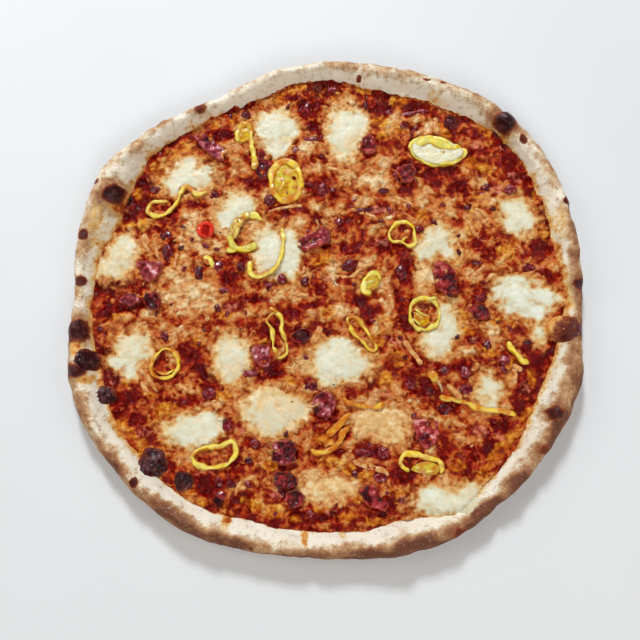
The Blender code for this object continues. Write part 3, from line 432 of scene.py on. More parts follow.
def scramble(ix, iy, iz, seed):
    """A repeatable whole number for each corner of a grid of cubes."""
    with np.errstate(over="ignore"):
        mixed = ix.astype(np.uint32) * np.uint32(374761393)
        mixed += iy.astype(np.uint32) * np.uint32(668265263)
        mixed += iz.astype(np.uint32) * np.uint32(2246822519)
        mixed += np.uint32(seed * 144665 % 4294967295)
        mixed = (mixed ^ (mixed >> np.uint32(13))) * np.uint32(1274126177)
        mixed = (mixed ^ (mixed >> np.uint32(15))) * np.uint32(2246822507)
    return mixed ^ (mixed >> np.uint32(16))


def noise(x, y, z=0.0, size=10.0, seed=1, octaves=1, gain=0.5):
    """Smooth noise of about -1 to 1 whose largest bumps are about the given size."""
    x, y, z = np.broadcast_arrays(np.asarray(x, float), y, z)
    total, weight, reach = 0.0, 1.0, 0.0
    for octave in range(octaves):
        px, py, pz = (axis / size + 31.7 * octave for axis in (x, y, z))
        ix, iy, iz = (np.floor(axis).astype(np.int64) for axis in (px, py, pz))
        fx, fy, fz = px - ix, py - iy, pz - iz
        ux, uy, uz = (f * f * f * (f * (f * 6 - 15) + 10) for f in (fx, fy, fz))
        value = 0.0
        for dx in (0, 1):
            for dy in (0, 1):
                for dz in (0, 1):
                    code = scramble(ix + dx, iy + dy, iz + dz, seed + octave) & np.uint32(15)
                    gx, gy, gz = fx - dx, fy - dy, fz - dz
                    u = np.where(code < 8, gx, gy)
                    v = np.where(code < 4, gy, np.where((code == 12) | (code == 14), gx, gz))
                    slope = np.where(code & 1, -u, u) + np.where(code & 2, -v, v)
                    wx = ux if dx else 1 - ux
                    wy = uy if dy else 1 - uy
                    wz = uz if dz else 1 - uz
                    value = value + slope * wx * wy * wz
        total = total + 1.5 * weight * value
        reach += weight
        weight *= gain
        size /= 2.0
    return total / reach**0.5


def pimples(x, y, z, size, seed):
    """Round bumps of mixed height, 1 at a bump's top and 0 between them."""
    px, py, pz = x / size, y / size, z / size
    ix, iy, iz = (np.floor(axis).astype(np.int64) for axis in (px, py, pz))
    best = np.zeros(np.shape(px))
    for dx in (-1, 0, 1):
        for dy in (-1, 0, 1):
            for dz in (-1, 0, 1):
                jx, jy, jz = ix + dx, iy + dy, iz + dz
                code = scramble(jx, jy, jz, seed)
                sx = jx + (code & np.uint32(255)) / 255.0
                sy = jy + ((code >> np.uint32(8)) & np.uint32(255)) / 255.0
                sz = jz + ((code >> np.uint32(16)) & np.uint32(255)) / 255.0
                tall = ((code >> np.uint32(24)) & np.uint32(255)) / 255.0
                away = (px - sx) ** 2 + (py - sy) ** 2 + (pz - sz) ** 2
                best = np.maximum(best, tall * np.clip(1 - away / (0.2 + 0.3 * tall), 0, 1))
    return best


def from_ellipse(x, y, ellipse, grow=1.0):
    """Places along and across an ellipse, as shares of its half length and half width."""
    px, py, length, width, turn = ellipse
    c, s = math.cos(math.radians(turn)), math.sin(math.radians(turn))
    dx, dy = x - px, y - py
    return (dx * c + dy * s) / (length * grow), (dy * c - dx * s) / (width * grow)


def areas(x, y, table, seed, wobble, soft):
    """How strongly each point lies in a set of soft, ragged ellipses."""
    x, y = np.asarray(x, float), np.asarray(y, float)
    best = np.zeros(x.shape)
    edge = wobble * noise(x, y, 0, 9, seed, 3)
    for *ellipse, strength in table:
        px, py, length, width, _ = ellipse
        reach = 2.5 * max(length, width)
        near = (np.abs(x - px) < reach) & (np.abs(y - py) < reach)
        away = np.hypot(*from_ellipse(x[near], y[near], ellipse)) + edge[near]
        best[near] = np.maximum(best[near], strength * ease(-away, -1 - soft, -1 + soft))
    return best


def smooth_line(points, closed, spacing):
    """Evenly spaced points along a smooth curve through the given ones."""
    points = np.asarray(points, float)
    count = len(points)
    spans = count if closed else count - 1
    fine = []
    for span in range(spans):
        if closed:
            picks = [(span + k) % count for k in NEIGHBOURS]
        else:
            picks = [min(max(span + k, 0), count - 1) for k in NEIGHBOURS]
        fine.extend(curve(*points[picks], share) for share in np.arange(SPAN_STEPS) / SPAN_STEPS)
    fine.append(points[0] if closed else points[-1])
    fine = np.array(fine)
    lengths = np.concatenate([[0], np.cumsum(np.hypot(*np.diff(fine, axis=0).T))])
    pieces = max(6, round(lengths[-1] / spacing))
    goals = np.linspace(0, lengths[-1], pieces + 1)
    goals = goals[:-1] if closed else goals
    return np.stack([np.interp(goals, lengths, fine[:, k]) for k in (0, 1)], 1), lengths[-1]


def blurred(values, reach, closed):
    """A running average along a line, over a number of points each way."""
    reach = max(1, int(reach))
    weights = np.exp(-0.5 * (np.arange(-2 * reach, 2 * reach + 1) / reach) ** 2)
    padded = np.pad(values, 2 * reach, mode="wrap" if closed else "edge")
    return np.convolve(padded, weights / weights.sum(), mode="valid")


# --- colours and materials ---
def linear(*channels):
    """A colour read in screen values from 0 to 255, as Blender's linear values."""
    shares = (channel / 255 for channel in channels)
    return tuple(((s + 0.055) / 1.055) ** 2.4 if s > 10.5 / 255 else s / 12.92 for s in shares)


def painted(color):
    """Makes screen values linear. A socket or one of the look's colours stays as it is."""
    return linear(*color) if isinstance(color, tuple) else color


def plug(tree, socket, value):
    """Links a node's input to another node's output, or sets it."""
    if isinstance(value, bpy.types.NodeSocket):
        tree.links.new(value, socket)
    elif socket.type == "RGBA":
        socket.default_value = (*value, 1.0)
    else:
        socket.default_value = value


def new_node(tree, kind, inputs):
    node = tree.nodes.new(kind)
    for key, value in inputs.items():
        plug(tree, node.inputs[key.replace("_", " ")], value)
    return node


class Finish:
    """A procedural material under construction."""

    def __init__(self, name):
        self.material = bpy.data.materials.new(name)
        self.material.use_nodes = True
        self.tree = self.material.node_tree
        self.shader = self.tree.nodes["Principled BSDF"]
        self.place = self.add("ShaderNodeTexCoord").outputs["Object"]

    def add(self, kind, **inputs):
        return new_node(self.tree, kind, inputs)

    def attribute(self, name):
        node = self.add("ShaderNodeAttribute")
        node.attribute_name = name
        return node.outputs["Fac"]

    def noise(self, size, detail, roughness=0.55, swirl=0.0):
        """Noise from 0 to 1 with features of about a size in millimetres."""
        inputs = {"Scale": 1000.0 / size, "Detail": detail, "Roughness": roughness}
        node = self.add("ShaderNodeTexNoise", Vector=self.place, Distortion=swirl, **inputs)
        return node.outputs["Fac"]

    def cells(self, size, warp):
        """Round lumps of about a size in millimetres: 0 on their tops, near 0.7 between them."""
        swirl = self.add("ShaderNodeTexNoise", Vector=self.place, Scale=700.0 / size, Detail=1.0)
        shift = self.add("ShaderNodeVectorMath", Vector=swirl.outputs["Color"])
        shift.operation = "SCALE"
        shift.inputs["Scale"].default_value = warp * size * MM
        moved = self.add("ShaderNodeVectorMath", Vector=self.place)
        plug(self.tree, moved.inputs[1], shift.outputs["Vector"])
        node = self.add("ShaderNodeTexVoronoi", Vector=moved.outputs["Vector"], Scale=1000.0 / size)
        node.feature = "SMOOTH_F1"
        node.inputs["Smoothness"].default_value = 0.35
        return node.outputs["Distance"]

    def maths(self, operation, first, second, third=0.0):
        node = self.add("ShaderNodeMath")
        node.operation = operation
        for socket, value in zip(node.inputs, (first, second, third), strict=True):
            plug(self.tree, socket, value)
        return node.outputs["Value"]

    def sum(self, *terms):
        """Adds (value, factor) pairs and plain numbers."""
        total = None
        for term in terms:
            value, factor = term if isinstance(term, tuple) else (None, term)
            if value is None:
                total = self.maths("ADD", total, factor)
            elif total is None:
                total = self.maths("MULTIPLY", value, factor)
            else:
                total = self.maths("MULTIPLY_ADD", value, factor, total)
        return total

    def step(self, value, low, high):
        """A soft threshold: 0 below low and 1 above high."""
        node = self.add("ShaderNodeMapRange", Value=value, From_Min=low, From_Max=high)
        node.interpolation_type = "SMOOTHSTEP"
        return node.outputs["Result"]

    def ramp(self, value, *stops):
        """Colours by a value, from (value, colour) stops."""
        node = self.add("ShaderNodeValToRGB", Fac=value)
        band = node.color_ramp
        while len(band.elements) < len(stops):
            band.elements.new(1.0)
        for element, (place, color) in zip(band.elements, stops, strict=True):
            element.position = place
            element.color = (*painted(color), 1.0)
        return node.outputs["Color"]

    def mix(self, factor, first, second):
        node = self.add("ShaderNodeMix")
        node.data_type = "RGBA"
        for place, value in ((0, factor), (6, first), (7, second)):
            plug(self.tree, node.inputs[place], value)
        return node.outputs[2]

    def over(self, color, mask, other, share=1.0):
        """Covers a colour with another where a mask from 0 to 1 says, by a share."""
        factor = mask if share == 1.0 else self.maths("MULTIPLY", mask, share)
        return self.mix(factor, color, painted(other))

    def shade(self, factor, color, dark):
        """Multiplies a colour by a darker one, by a share from 0 to 1."""
        result = self.mix(factor, color, dark)
        result.node.blend_type = "MULTIPLY"
        return result

    def bump(self, height, strength, distance):
        node = self.add("ShaderNodeBump", Height=height, Strength=strength, Distance=distance)
        return node.outputs["Normal"]

    def done(self, color, rough, normal=None, specular=0.5, coat=(), flesh=()):
        """Feeds the shader. coat: weight and roughness. flesh: weight, depth in metres, radii."""
        inputs = {"Base Color": color, "Roughness": rough, "Specular IOR Level": specular}
        if normal is not None:
            inputs["Normal"] = normal
        inputs.update(zip(("Coat Weight", "Coat Roughness"), coat, strict=False))
        depths = ("Subsurface Weight", "Subsurface Scale", "Subsurface Radius")
        inputs.update(zip(depths, flesh, strict=False))
        for key, value in inputs.items():
            plug(self.tree, self.shader.inputs[key], value)
        return self.material


# --- meshes ---
def shown(name, data):
    """A new object in the scene."""
    obj = bpy.data.objects.new(name, data)
    bpy.context.scene.collection.objects.link(obj)
    return obj


def in_frame(points):
    """Measured millimetres as metres in the model's frame."""
    return (np.asarray(points, float) - (ORIGIN[0], ORIGIN[1], 0)) * MM


def store(mesh, values):
    """Keeps named numbers on a mesh's points, for its material to read."""
    for key, numbers in values.items():
        layer = mesh.attributes.new(key, "FLOAT", "POINT")
        layer.data.foreach_set("value", np.asarray(numbers, np.float32))


def new_piece(name, points, faces, material, replaced, values, lay=True):
    """A mesh piece in the model's frame that rides on the pizza."""
    mesh = bpy.data.meshes.new(name)
    mesh.from_pydata(in_frame(points).tolist(), [], faces)
    store(mesh, values)
    return adopt(name, mesh, material, replaced, lay)


def adopt(name, mesh, material, replaced, lay):
    """Makes a mesh a visible piece, and lets later pieces lie on it if lay says so."""
    mesh.materials.clear()
    mesh.materials.append(material)
    mesh.polygons.foreach_set("material_index", np.zeros(len(mesh.polygons), np.int32))
    mesh.shade_smooth()
    mesh.update()
    obj = shown(name, mesh)
    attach(obj, "root")
    if replaced:
        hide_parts(*replaced)
    if lay:
        Laid.add(mesh)
    return obj


class Laid:
    """The tops of the pieces made so far, for the next ones to lie on."""

    layers = []
    ABOVE_ALL = 0.1
    DOWN = Vector((0, 0, -1))

    @classmethod
    def add(cls, mesh):
        mesh.calc_loop_triangles()
        corners = np.empty(len(mesh.vertices) * 3, np.float32)
        mesh.vertices.foreach_get("co", corners)
        corners = corners.reshape(-1, 3)
        picks = np.empty(len(mesh.loop_triangles) * 3, np.int32)
        mesh.loop_triangles.foreach_get("vertices", picks)
        tree = BVHTree.FromPolygons(corners.tolist(), picks.reshape(-1, 3).tolist())
        low, high = corners.min(0), corners.max(0)
        cls.layers.append((low[0], high[0], low[1], high[1], tree))

    @classmethod
    def top(cls, x, y):
        """Heights in millimetres of the highest surface over measured points."""
        xs = (np.atleast_1d(x) - ORIGIN[0]) * MM
        ys = (np.atleast_1d(y) - ORIGIN[1]) * MM
        heights = []
        for px, py in zip(xs.ravel().tolist(), ys.ravel().tolist(), strict=True):
            best = 0.0
            for low_x, high_x, low_y, high_y, tree in cls.layers:
                if low_x <= px <= high_x and low_y <= py <= high_y:
                    hit = tree.ray_cast(Vector((px, py, cls.ABOVE_ALL)), cls.DOWN)[0]
                    if hit and hit.z > best:
                        best = hit.z
            heights.append(best / MM)
        return np.array(heights).reshape(xs.shape)


def band(inner, outer, count):
    """Faces between two closed rings of count points, given each ring's first point."""
    turns = [(k, (k + 1) % count) for k in range(count)]
    return [(inner + k, outer + k, outer + after, inner + after) for k, after in turns]


def disc_mesh(rings, sectors):
    """Faces of a disc of rings and sectors whose first point is its middle."""
    faces = [(0, 1 + k, 1 + (k + 1) % sectors) for k in range(sectors)]
    for ring in range(rings - 1):
        faces += band(1 + ring * sectors, 1 + (ring + 1) * sectors, sectors)
    return faces


RING_CROWDING = 0.85
LOW_SHARES = (0.97, 0.6, 0.25)


def patch(start, reach, top_of, rings, foot):
    """A closed low piece: a top over an outline, and a sunk underside.

    reach holds the outline's distance from the start every equal angle. top_of gives the height
    for arrays of x, y and the share of the way out. foot is how far the underside lies below.
    """
    sectors = len(reach)
    angles = np.arange(sectors) / sectors * math.tau
    across, up = reach * np.cos(angles), reach * np.sin(angles)
    out = (np.arange(1, rings + 1)[:, None] / rings) ** RING_CROWDING
    xs = np.concatenate([[start[0]], (start[0] + out * across).ravel()])
    ys = np.concatenate([[start[1]], (start[1] + out * up).ravel()])
    shares = np.concatenate([[0.0], np.repeat(out, sectors)])
    zs = top_of(xs, ys, shares)
    points = [np.stack([xs, ys, zs], 1)]
    faces = disc_mesh(rings, sectors)
    inner = 1 + (rings - 1) * sectors
    for low_share in LOW_SHARES:
        ring = min(int(low_share ** (1 / RING_CROWDING) * rings), rings - 1)
        above = zs[1 + ring * sectors : 1 + (ring + 1) * sectors]
        low = np.minimum(above, above.min() + 2.0) - foot
        points.append(np.stack([start[0] + low_share * across, start[1] + low_share * up, low], 1))
        faces += band(inner, inner + sectors, sectors)
        inner += sectors
    points.append([[start[0], start[1], zs[0] - foot]])
    faces += [(inner + (k + 1) % sectors, inner + k, inner + sectors) for k in range(sectors)]
    points = np.concatenate(points)
    return points, faces, np.concatenate([shares, np.ones(len(points) - len(shares))])


def swept(line, closed, base, width, height, lean, sides, power):
    """A tube with a rounded oblong section along a line.

    Returns its points and faces, and how far up and across the section each point is.
    """
    count = len(line)
    if closed:
        along = np.roll(line, -1, 0) - np.roll(line, 1, 0)
    else:
        along = np.gradient(line, axis=0)
    along /= np.maximum(np.hypot(*along.T), 1e-9)[:, None]
    side = np.stack([along[:, 1], -along[:, 0]], 1)
    turn = np.arange(sides) / sides * math.tau
    across = np.sign(np.cos(turn)) * np.abs(np.cos(turn)) ** (2 / power)
    up = np.sign(np.sin(turn)) * np.abs(np.sin(turn)) ** (2 / power)
    rise = 0.5 + 0.5 * up
    offset = 0.5 * width[:, None] * across + (lean[:, None] * (rise - 0.5) * height[:, None])
    points = np.empty((count, sides, 3))
    points[:, :, :2] = line[:, None] + offset[:, :, None] * side[:, None]
    points[:, :, 2] = base[:, None] + height[:, None] * rise
    faces = []
    for i in range(count if closed else count - 1):
        here, ahead = i * sides, (i + 1) % count * sides
        for k in range(sides):
            after = (k + 1) % sides
            faces.append((here + k, here + after, ahead + after, ahead + k))
    if not closed:
        faces.append(tuple(range(sides))[::-1])
        faces.append(tuple((count - 1) * sides + k for k in range(sides)))
    return points.reshape(-1, 3), faces, np.tile(rise, count), np.tile(across, count)


def outward(obj):
    """Turns a closed piece's faces outwards."""
    shape = bmesh.new()
    shape.from_mesh(obj.data)
    bmesh.ops.recalc_face_normals(shape, faces=shape.faces)
    shape.to_mesh(obj.data)
    shape.free()


def merged(parts):
    """Several (points, faces, values) meshes as one."""
    points, faces, values, start = [], [], {}, 0
    for part_points, part_faces, part_values in parts:
        points.append(part_points)
        faces.extend(tuple(corner + start for corner in face) for face in part_faces)
        for key, numbers in part_values.items():
            values.setdefault(key, []).append(numbers)
        start += len(part_points)
    return np.concatenate(points), faces, {key: np.concatenate(v) for key, v in values.items()}


# --- crust ---
def crust_finish(look, name="baked_crust"):
    """Baked dough from cream to char, with oil stains near the sauce."""
    f = Finish(name)
    toast, char, oil, cream = (f.attribute(key) for key in ("toast", "char", "oil", "cream"))
    wide, middling = f.noise(15, 2), f.noise(5, 3)
    small, fine = f.noise(2.2, 2), f.noise(1.15, 2, 0.5)
    uneven = f.sum((wide, 1.0), (middling, 0.7), (small, 0.35), -0.93)
    browned = f.sum((toast, 1.0), (cream, -0.25), (uneven, 1.0))
    color = f.ramp(
        browned,
        (0.05, look.crust_cream), (0.26, (222, 202, 170)), (0.48, look.crust_tan),
        (0.76, (158, 108, 72)), (1.00, (104, 64, 46)),
    )
    stipple = f.step(f.sum((fine, 1.0), (toast, 0.30), (cream, -0.12), (middling, 0.3)), 0.68, 0.86)
    color = f.over(color, stipple, (118, 66, 42), 0.42)
    dust = f.step(f.sum((small, 0.7), (fine, 0.7), (wide, 0.3)), 0.98, 1.10)
    color = f.over(color, dust, (236, 224, 208), 0.3)
    stain = f.sum((oil, 1.0), (middling, 1.0), (small, 0.5), -0.75)
    stained = f.ramp(
        stain,
        (0.15, (234, 216, 168)), (0.55, (224, 182, 108)), (0.82, (208, 132, 56)),
        (1.00, (158, 58, 20)),
    )
    color = f.over(color, f.step(stain, 0.15, 0.7), stained)
    burnt = f.sum((char, 1.0), (middling, 0.7), (small, 0.4), -0.55)
    color = f.over(color, f.step(burnt, 0.02, 0.35), (150, 80, 44))
    color = f.over(color, f.step(burnt, 0.2, 0.6), (104, 42, 28))
    color = f.over(color, f.step(burnt, 0.5, 1.0), look.char)
    # Painted highlight: lilac patches over the burnt parts stand in for their shine.
    painted_glint_mask = f.step(f.sum((middling, 0.8), (wide, 0.6)), 0.66, 0.85)
    painted_sheen = f.maths("MULTIPLY", f.step(burnt, 0.6, 0.9), painted_glint_mask)
    color = f.over(color, painted_sheen, (120, 72, 76), 0.45)
    normal = f.bump(f.sum((fine, 0.4), (small, 0.5), (middling, 0.6)), 0.5, 0.0011)
    rough = f.sum((fine, 0.25), (oil, -0.25), (f.step(burnt, 0.5, 0.8), -0.38), 0.60)
    return f.done(color, rough, normal, 0.18, flesh=(0.06, 0.003, (1.0, 0.6, 0.3)))


CREST_SHARE = 0.56


def crust_height(angle):
    """Height of the rim's crest."""
    width = around(RIM_OUTSIDE, angle) - around(RIM_INSIDE, angle)
    radius = around(RIM_INSIDE, angle) + CREST_SHARE * width
    x, y = radius * np.cos(angle), radius * np.sin(angle)
    return 9.0 + 0.52 * width + 1.1 * noise(x, y, 3, 34, 7)


# How browned the rim is, and from which share of its width, every 30 degrees anticlockwise from +X:
# partly real browning, partly painted light, paler on the back half where the window lights the
# rim's top.
RIM_TOAST_AND_PAINTED_LIGHT = (0.95, 0.22, 0.45, 0.45, 0.12, 0.30, 0.60, 0.98, 1.25, 1.05, 1.65, 1.15)
RIM_BROWN_FROM = (0.32, 0.50, 0.40, 0.42, 0.56, 0.46, 0.42, 0.46, 0.46, 0.44, 0.34, 0.34)
# How far sauce and oil stain the rim's inner slope, every 30 degrees.
RIM_OIL = (0.8, 0.6, 0.15, 0.1, 0.1, 0.8, 0.6, 0.8, 0.2, 0.1, 0.2, 0.6)
# Folds across the rim: place in degrees, width and depth.
CREASES = (
    (266, 3, 2.2), (246.5, 2.2, 1.8), (47, 3, 2.0), (72, 5, 1.5), (148, 5, 1.4), (229, 4, 1.8),
    (183, 5, 1.6), (201, 4, 1.7), (308, 4, 1.8), (346, 4, 1.6), (130, 6, 1.2), (96, 6, 1.2),
    (20, 5, 1.4), (336, 5, 1.2), (289, 5, 1.2),
)  # fmt: skip
# Where sauce or oil runs up the rim.
DRIPS = graded({
    1.0: ((-77, -174, 4, 10), (-168, 74, 12, 9, 20)),
    0.9: ((147, 134, 9, 9),),
    0.8: ((-17, -190, 3, 7),),
    0.75: ((-200, -45, 6, 7),),
    0.7: ((-190, -70, 8, 5),),
    0.6: ((12, -187, 3, 5), (-186, -8, 5, 12), (185, 12, 6, 10)),
    0.55: ((-188, 52, 7, 22, 5), (193, 60, 5, 16)),
    0.5: ((-150, -118, 6, 8, 30), (-116, 146, 14, 5, 35), (95, 170, 12, 5, -35), (182, -50, 6, 12)),
})  # fmt: skip


SLOPE_RADIUS = 190
CREST_RADIUS = 205
LEAST_LAP = 2.6
# Rings that close the dough: share of the way out, and the step between the rim's points kept.
CLOSING_RINGS = ((0.97, 1), (0.8, 6), (0.4, 12))


def lap(turn):
    """How far the bed runs up the rim's inner slope."""
    x, y = SLOPE_RADIUS * np.cos(turn), SLOPE_RADIUS * np.sin(turn)
    reach = 3.1 + 1.4 * noise(x, y, 0, 15, 74, 2) + 0.8 * noise(x, y, 0, 34, 78)
    return np.maximum(reach, LEAST_LAP)


class PIZZA_OT_crust(Operator):
    """Makes the puffed, browned rim with the dough under the sauce"""

    bl_idname = "pizza.crust"
    bl_label = "Crust"

    def execute(self, context):
        look = context.scene.pizza_look
        steps, spacing = ((1080, 0.62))
        section = [(RIM_WIDTH * share, z) for share, z in RIM_SECTION]
        line, _ = smooth_line(section, False, spacing)
        shares, levels = np.minimum(line[:, 0] / RIM_WIDTH, 1.0), np.maximum(line[:, 1], 0)
        place = np.arange(len(shares)) / (len(shares) - 1)
        angle = np.arange(steps)[:, None] / steps * math.tau
        grid = self.rounded(angle, shares, levels)
        char = areas(grid[..., 0], grid[..., 1], CHARS, 21, 0.35, 0.4)
        grid = self.puffed(grid, angle, place, char, look.blister_height)
        values = self.colors(grid, angle, shares, place, char)
        points, faces, values = self.closed(grid, values)
        finish = crust_finish(look)
        outward(new_piece("baked_crust", points, faces, finish, ("crust",), values))
        return {"FINISHED"}

    def rounded(self, angle, shares, levels):
        """The rim's section carried round the measured outlines, with its big blisters."""
        inside, outside = around(RIM_INSIDE, angle), around(RIM_OUTSIDE, angle)
        radius = inside + shares * (outside - inside)
        x = RIM_CENTRE[0] + radius * np.cos(angle)
        y = RIM_CENTRE[1] + radius * np.sin(angle)
        rise = (crust_height(angle) - DOUGH_Z) / (REFERENCE_CREST - DOUGH_Z)
        z = np.where(levels > DOUGH_Z, DOUGH_Z + (levels - DOUGH_Z) * rise, levels + 0 * angle)
        for bx, by, size, height in BLISTERS:
            away = np.hypot(x - bx, y - by) / size
            z = z + np.where(z > DOUGH_Z + 0.1, height * np.clip(1 - away * away, 0, 1) ** 2, 0)
        return np.stack([x, y, z], -1)

    def puffed(self, grid, angle, place, char, blisters):
        """Uneven puffs, small blisters, folds and wrinkled chars, pushed out along the surface."""
        x, y, z = grid[..., 0], grid[..., 1], grid[..., 2]
        along = np.roll(grid, -1, 0) - np.roll(grid, 1, 0)
        normal = np.cross(np.gradient(grid, axis=1), along)
        normal /= np.maximum(np.linalg.norm(normal, axis=-1), 1e-9)[..., None]
        normal *= np.sign(normal[:, len(place) // 2, 2])[:, None, None]
        free = ease(z, 1.0, 5.0) * ease(place, 0.02, 0.16)
        puff = 2.8 * noise(x, y, z, 20, 11, 2) + 0.6 * noise(x, y, z, 8, 12, 2)
        bumps = pimples(x, y, z, 8.5, 5) * 1.0 + pimples(x, y, z, 4.0, 6) * 0.4
        wrinkle = np.abs(noise(x, y, z, 3.6, 13, 2)) * ease(char, 0.5, 1.0) * 1.2
        grain = 0.14 * noise(x, y, z, 2.0, 14, 2)
        crease = np.zeros(x.shape)
        for degrees, width, depth in CREASES:
            swing = (angle - math.radians(degrees) + math.pi) % math.tau - math.pi
            wander = 0.014 * noise(np.hypot(x, y), 0 * x, degrees, 9, 3)
            away = (swing + wander) * CREST_RADIUS / width
            crease += depth * np.exp(-(away**2)) * ease(place, 0.1, 0.5)
        lift = puff * 0.8 + bumps * ease(place, 0.3, 0.5) * blisters + grain - wrinkle - crease
        lift = np.where(lift > 0, lift * 0.85, lift)
        free = free * (0.3 + 0.7 * np.clip(normal[..., 2], 0, 1))
        grid = grid + normal * (lift * free)[..., None]
        grid[..., 2] = np.maximum(grid[..., 2], 0.0)
        return grid

    def colors(self, grid, angle, shares, place, char):
        """How browned, burnt, oily and creamy each point is."""
        x, y, z = grid[..., 0], grid[..., 1], grid[..., 2]
        start = around(RIM_BROWN_FROM, angle) + 0.14 * noise(x, y, z, 16, 52, 2)
        across = shares + ease(place, 0.62, 0.9) * 0.4
        browned = ease(across, start - 0.12, start + 0.32) * around(RIM_TOAST_AND_PAINTED_LIGHT, angle)
        browned = browned * (0.8 + 0.45 * noise(x, y, 2 * z, 24, 51, 2))
        named = areas(x, y, TOASTS, 22, 0.4, 0.6) * ease(place, 0.2, 0.4)
        halo = [
            (px, py, length * 1.6 + 2, width * 1.6 + 2, turn, 0.75 * dark)
            for px, py, length, width, turn, dark in CHARS
            if length > 4
        ]
        toast = np.clip(browned * 0.62 + named * 0.55, 0, 1)
        toast = np.maximum(toast, areas(x, y, halo, 8, 0.2, 0.7))
        side = ease(place, 0.68, 0.8)
        toast = toast * (1 - 0.4 * side) + 0.22 * side + ease(place, 0.9, 1.0) * 0.15
        toast = np.clip(toast, 0, 1)
        inward = shares * (around(RIM_OUTSIDE, angle) - around(RIM_INSIDE, angle))
        reach = around(RIM_OIL, angle)
        past_sauce = inward - lap(angle) + 1.3 + 1.6 * noise(x, y, 0, 11, 31, 2)
        border = 1 - ease(past_sauce, -1.2, 1.4 + 8 * reach)
        stain = border * (1 - ease(place, 0.4, 0.5)) * (0.65 + 0.35 * reach)
        oil = np.maximum(stain, areas(x, y, DRIPS, 9, 0.35, 0.6))
        cream = ease(across, 0.08, 0.25) * (1 - ease(across, start - 0.25, start + 0.05))
        char = char * ease(place, 0.05, 0.2)
        return {"toast": toast, "char": char, "oil": oil, "cream": cream}

    def closed(self, grid, values):
        """The rim's grid closed with the dough under the sauce and a flat underside."""
        steps, rows = grid.shape[:2]
        faces = []
        for i in range(steps):
            here, ahead = i * rows, (i + 1) % steps * rows
            for k in range(rows - 1):
                faces.append((here + k, here + k + 1, ahead + k + 1, ahead + k))
        extra = []
        for row, level in ((0, DOUGH_Z), (rows - 1, 0.0)):
            previous = [i * rows + row for i in range(steps)]
            for share, keep in CLOSING_RINGS:
                ring = []
                for i in range(0, steps, keep):
                    middle = np.array(RIM_CENTRE)
                    ring.append(steps * rows + len(extra))
                    extra.append((*(middle + (grid[i, row, :2] - middle) * share), level))
                ratio = len(previous) // len(ring)
                for j in range(len(ring)):
                    steps_back = range(ratio, -1, -1)
                    outer = [previous[(j * ratio + m) % len(previous)] for m in steps_back]
                    faces.append((ring[j], ring[(j + 1) % len(ring)], *outer))
                previous = ring
            faces.append(tuple(previous))
        points = np.concatenate([grid.reshape(-1, 3), np.array(extra)])
        plain = {"toast": 0.3, "char": 0.0, "oil": 0.0, "cream": 0.2}
        values = {
            key: np.concatenate([numbers.ravel(), np.full(len(extra), plain[key])])
            for key, numbers in values.items()
        }
        return points, faces, values


# --- bed of sauce and melted cheese ---
FLOW = 7


def soft_union(x, y, ellipses, spread):
    """Distance from the middle of a group of ellipses that flow together: 1 is their edge."""
    total = 0.0
    for ellipse in ellipses:
        total = total + np.exp(-FLOW * np.hypot(*from_ellipse(x, y, ellipse, spread)))
    return -np.log(total + 1e-300) / FLOW


def pool_depth(x, y):
    """How far inside the nearest mozzarella pool each point lies, and how browned that pool is."""
    depth, browning = np.full(np.shape(x), -60.0), np.zeros(np.shape(x))
    for toasted, ellipses in POOLS:
        size = np.mean([min(length, width) for _, _, length, width, _ in ellipses])
        here = (1 - soft_union(x, y, ellipses, POOL_SPREAD)) * size
        browning = np.where(here > depth, toasted, browning)
        depth = np.maximum(depth, here)
    return depth, browning


BED_LEVEL = 8.2
BED_UNDERSIDE = 5.7


def bed_fields(x, y):
    """Height and colour areas of the bed at measured points."""
    radius, angle = polar(x, y)
    edge = around(RIM_INSIDE, angle) - radius
    wx, wy = x + 4 * noise(x, y, 0, 11, 61, 2), y + 4 * noise(x, y, 5, 11, 62, 2)
    broad = noise(x, y, 0, 24, 63, 2)
    lumps = noise(wx, wy, 0, 10, 64, 2, 0.6)
    bubbles = pimples(wx, wy, 0 * x, 5.5, 66)
    hollows = pimples(wx, wy, 0 * x + 9, 7.0, 67)
    strands = 0.5 - 1.6 * np.abs(noise(wx, wy, 0, 6, 65, 2))
    grains = noise(x, y, 0, 2.7, 68, 2)
    relief = 0.55 * lumps + 0.8 * bubbles - 0.7 * hollows + 0.45 * strands + 0.22 * grains
    sauce = areas(x, y, SAUCE_AREAS, 68, 0.5, 0.6)
    cheese = areas(x, y, CHEESE_AREAS, 69, 0.5, 0.6)
    gold = areas(x, y, GOLD_AREAS, 70, 0.4, 0.5)
    pink_highlight = areas(x, y, PINK_HIGHLIGHT_AREAS, 75, 0.5, 0.6)
    ring = ease(-edge + 5 * noise(x, y, 0, 20, 73, 2), -18, -4)
    depth, browning = pool_depth(x, y)
    milk = depth + 3.0 * noise(x, y, 0, 9, 71, 2) + 0.9 * noise(x, y, 0, 3.5, 76)
    milk = ease(milk, -8, 7)
    cover = 0.50 + 0.11 * broad + 0.23 * noise(wx, wy, 3, 13, 72, 2)
    cover += 0.38 * cheese - 0.36 * sauce - 0.08 * ring + 0.12 * gold + 0.18 * milk
    burns = areas(x, y, BED_BURNS, 23, 0.4, 0.5)
    burns = np.maximum(areas(x, y, CHARS, 21, 0.3, 0.5), burns)
    height = BED_LEVEL + 0.5 * broad + 2.0 * relief * (1 - 0.72 * milk) * (1 - 0.55 * cheese)
    height = height + 0.8 * np.clip(cover, 0, 1) + 2.6 * burns**2
    return height, {
        "cover": np.clip(cover, -0.2, 1.3),
        "relief": np.clip(0.5 + 0.5 * relief, 0, 1.2),
        "gold": gold,
        "pink_highlight": pink_highlight,
        "burnt": burns,
        "milk": milk,
        "browned": browning + 0.1 * broad,
        "calm": np.maximum(np.maximum(cheese, 0.7 * milk), 0.5 * sauce),
    }


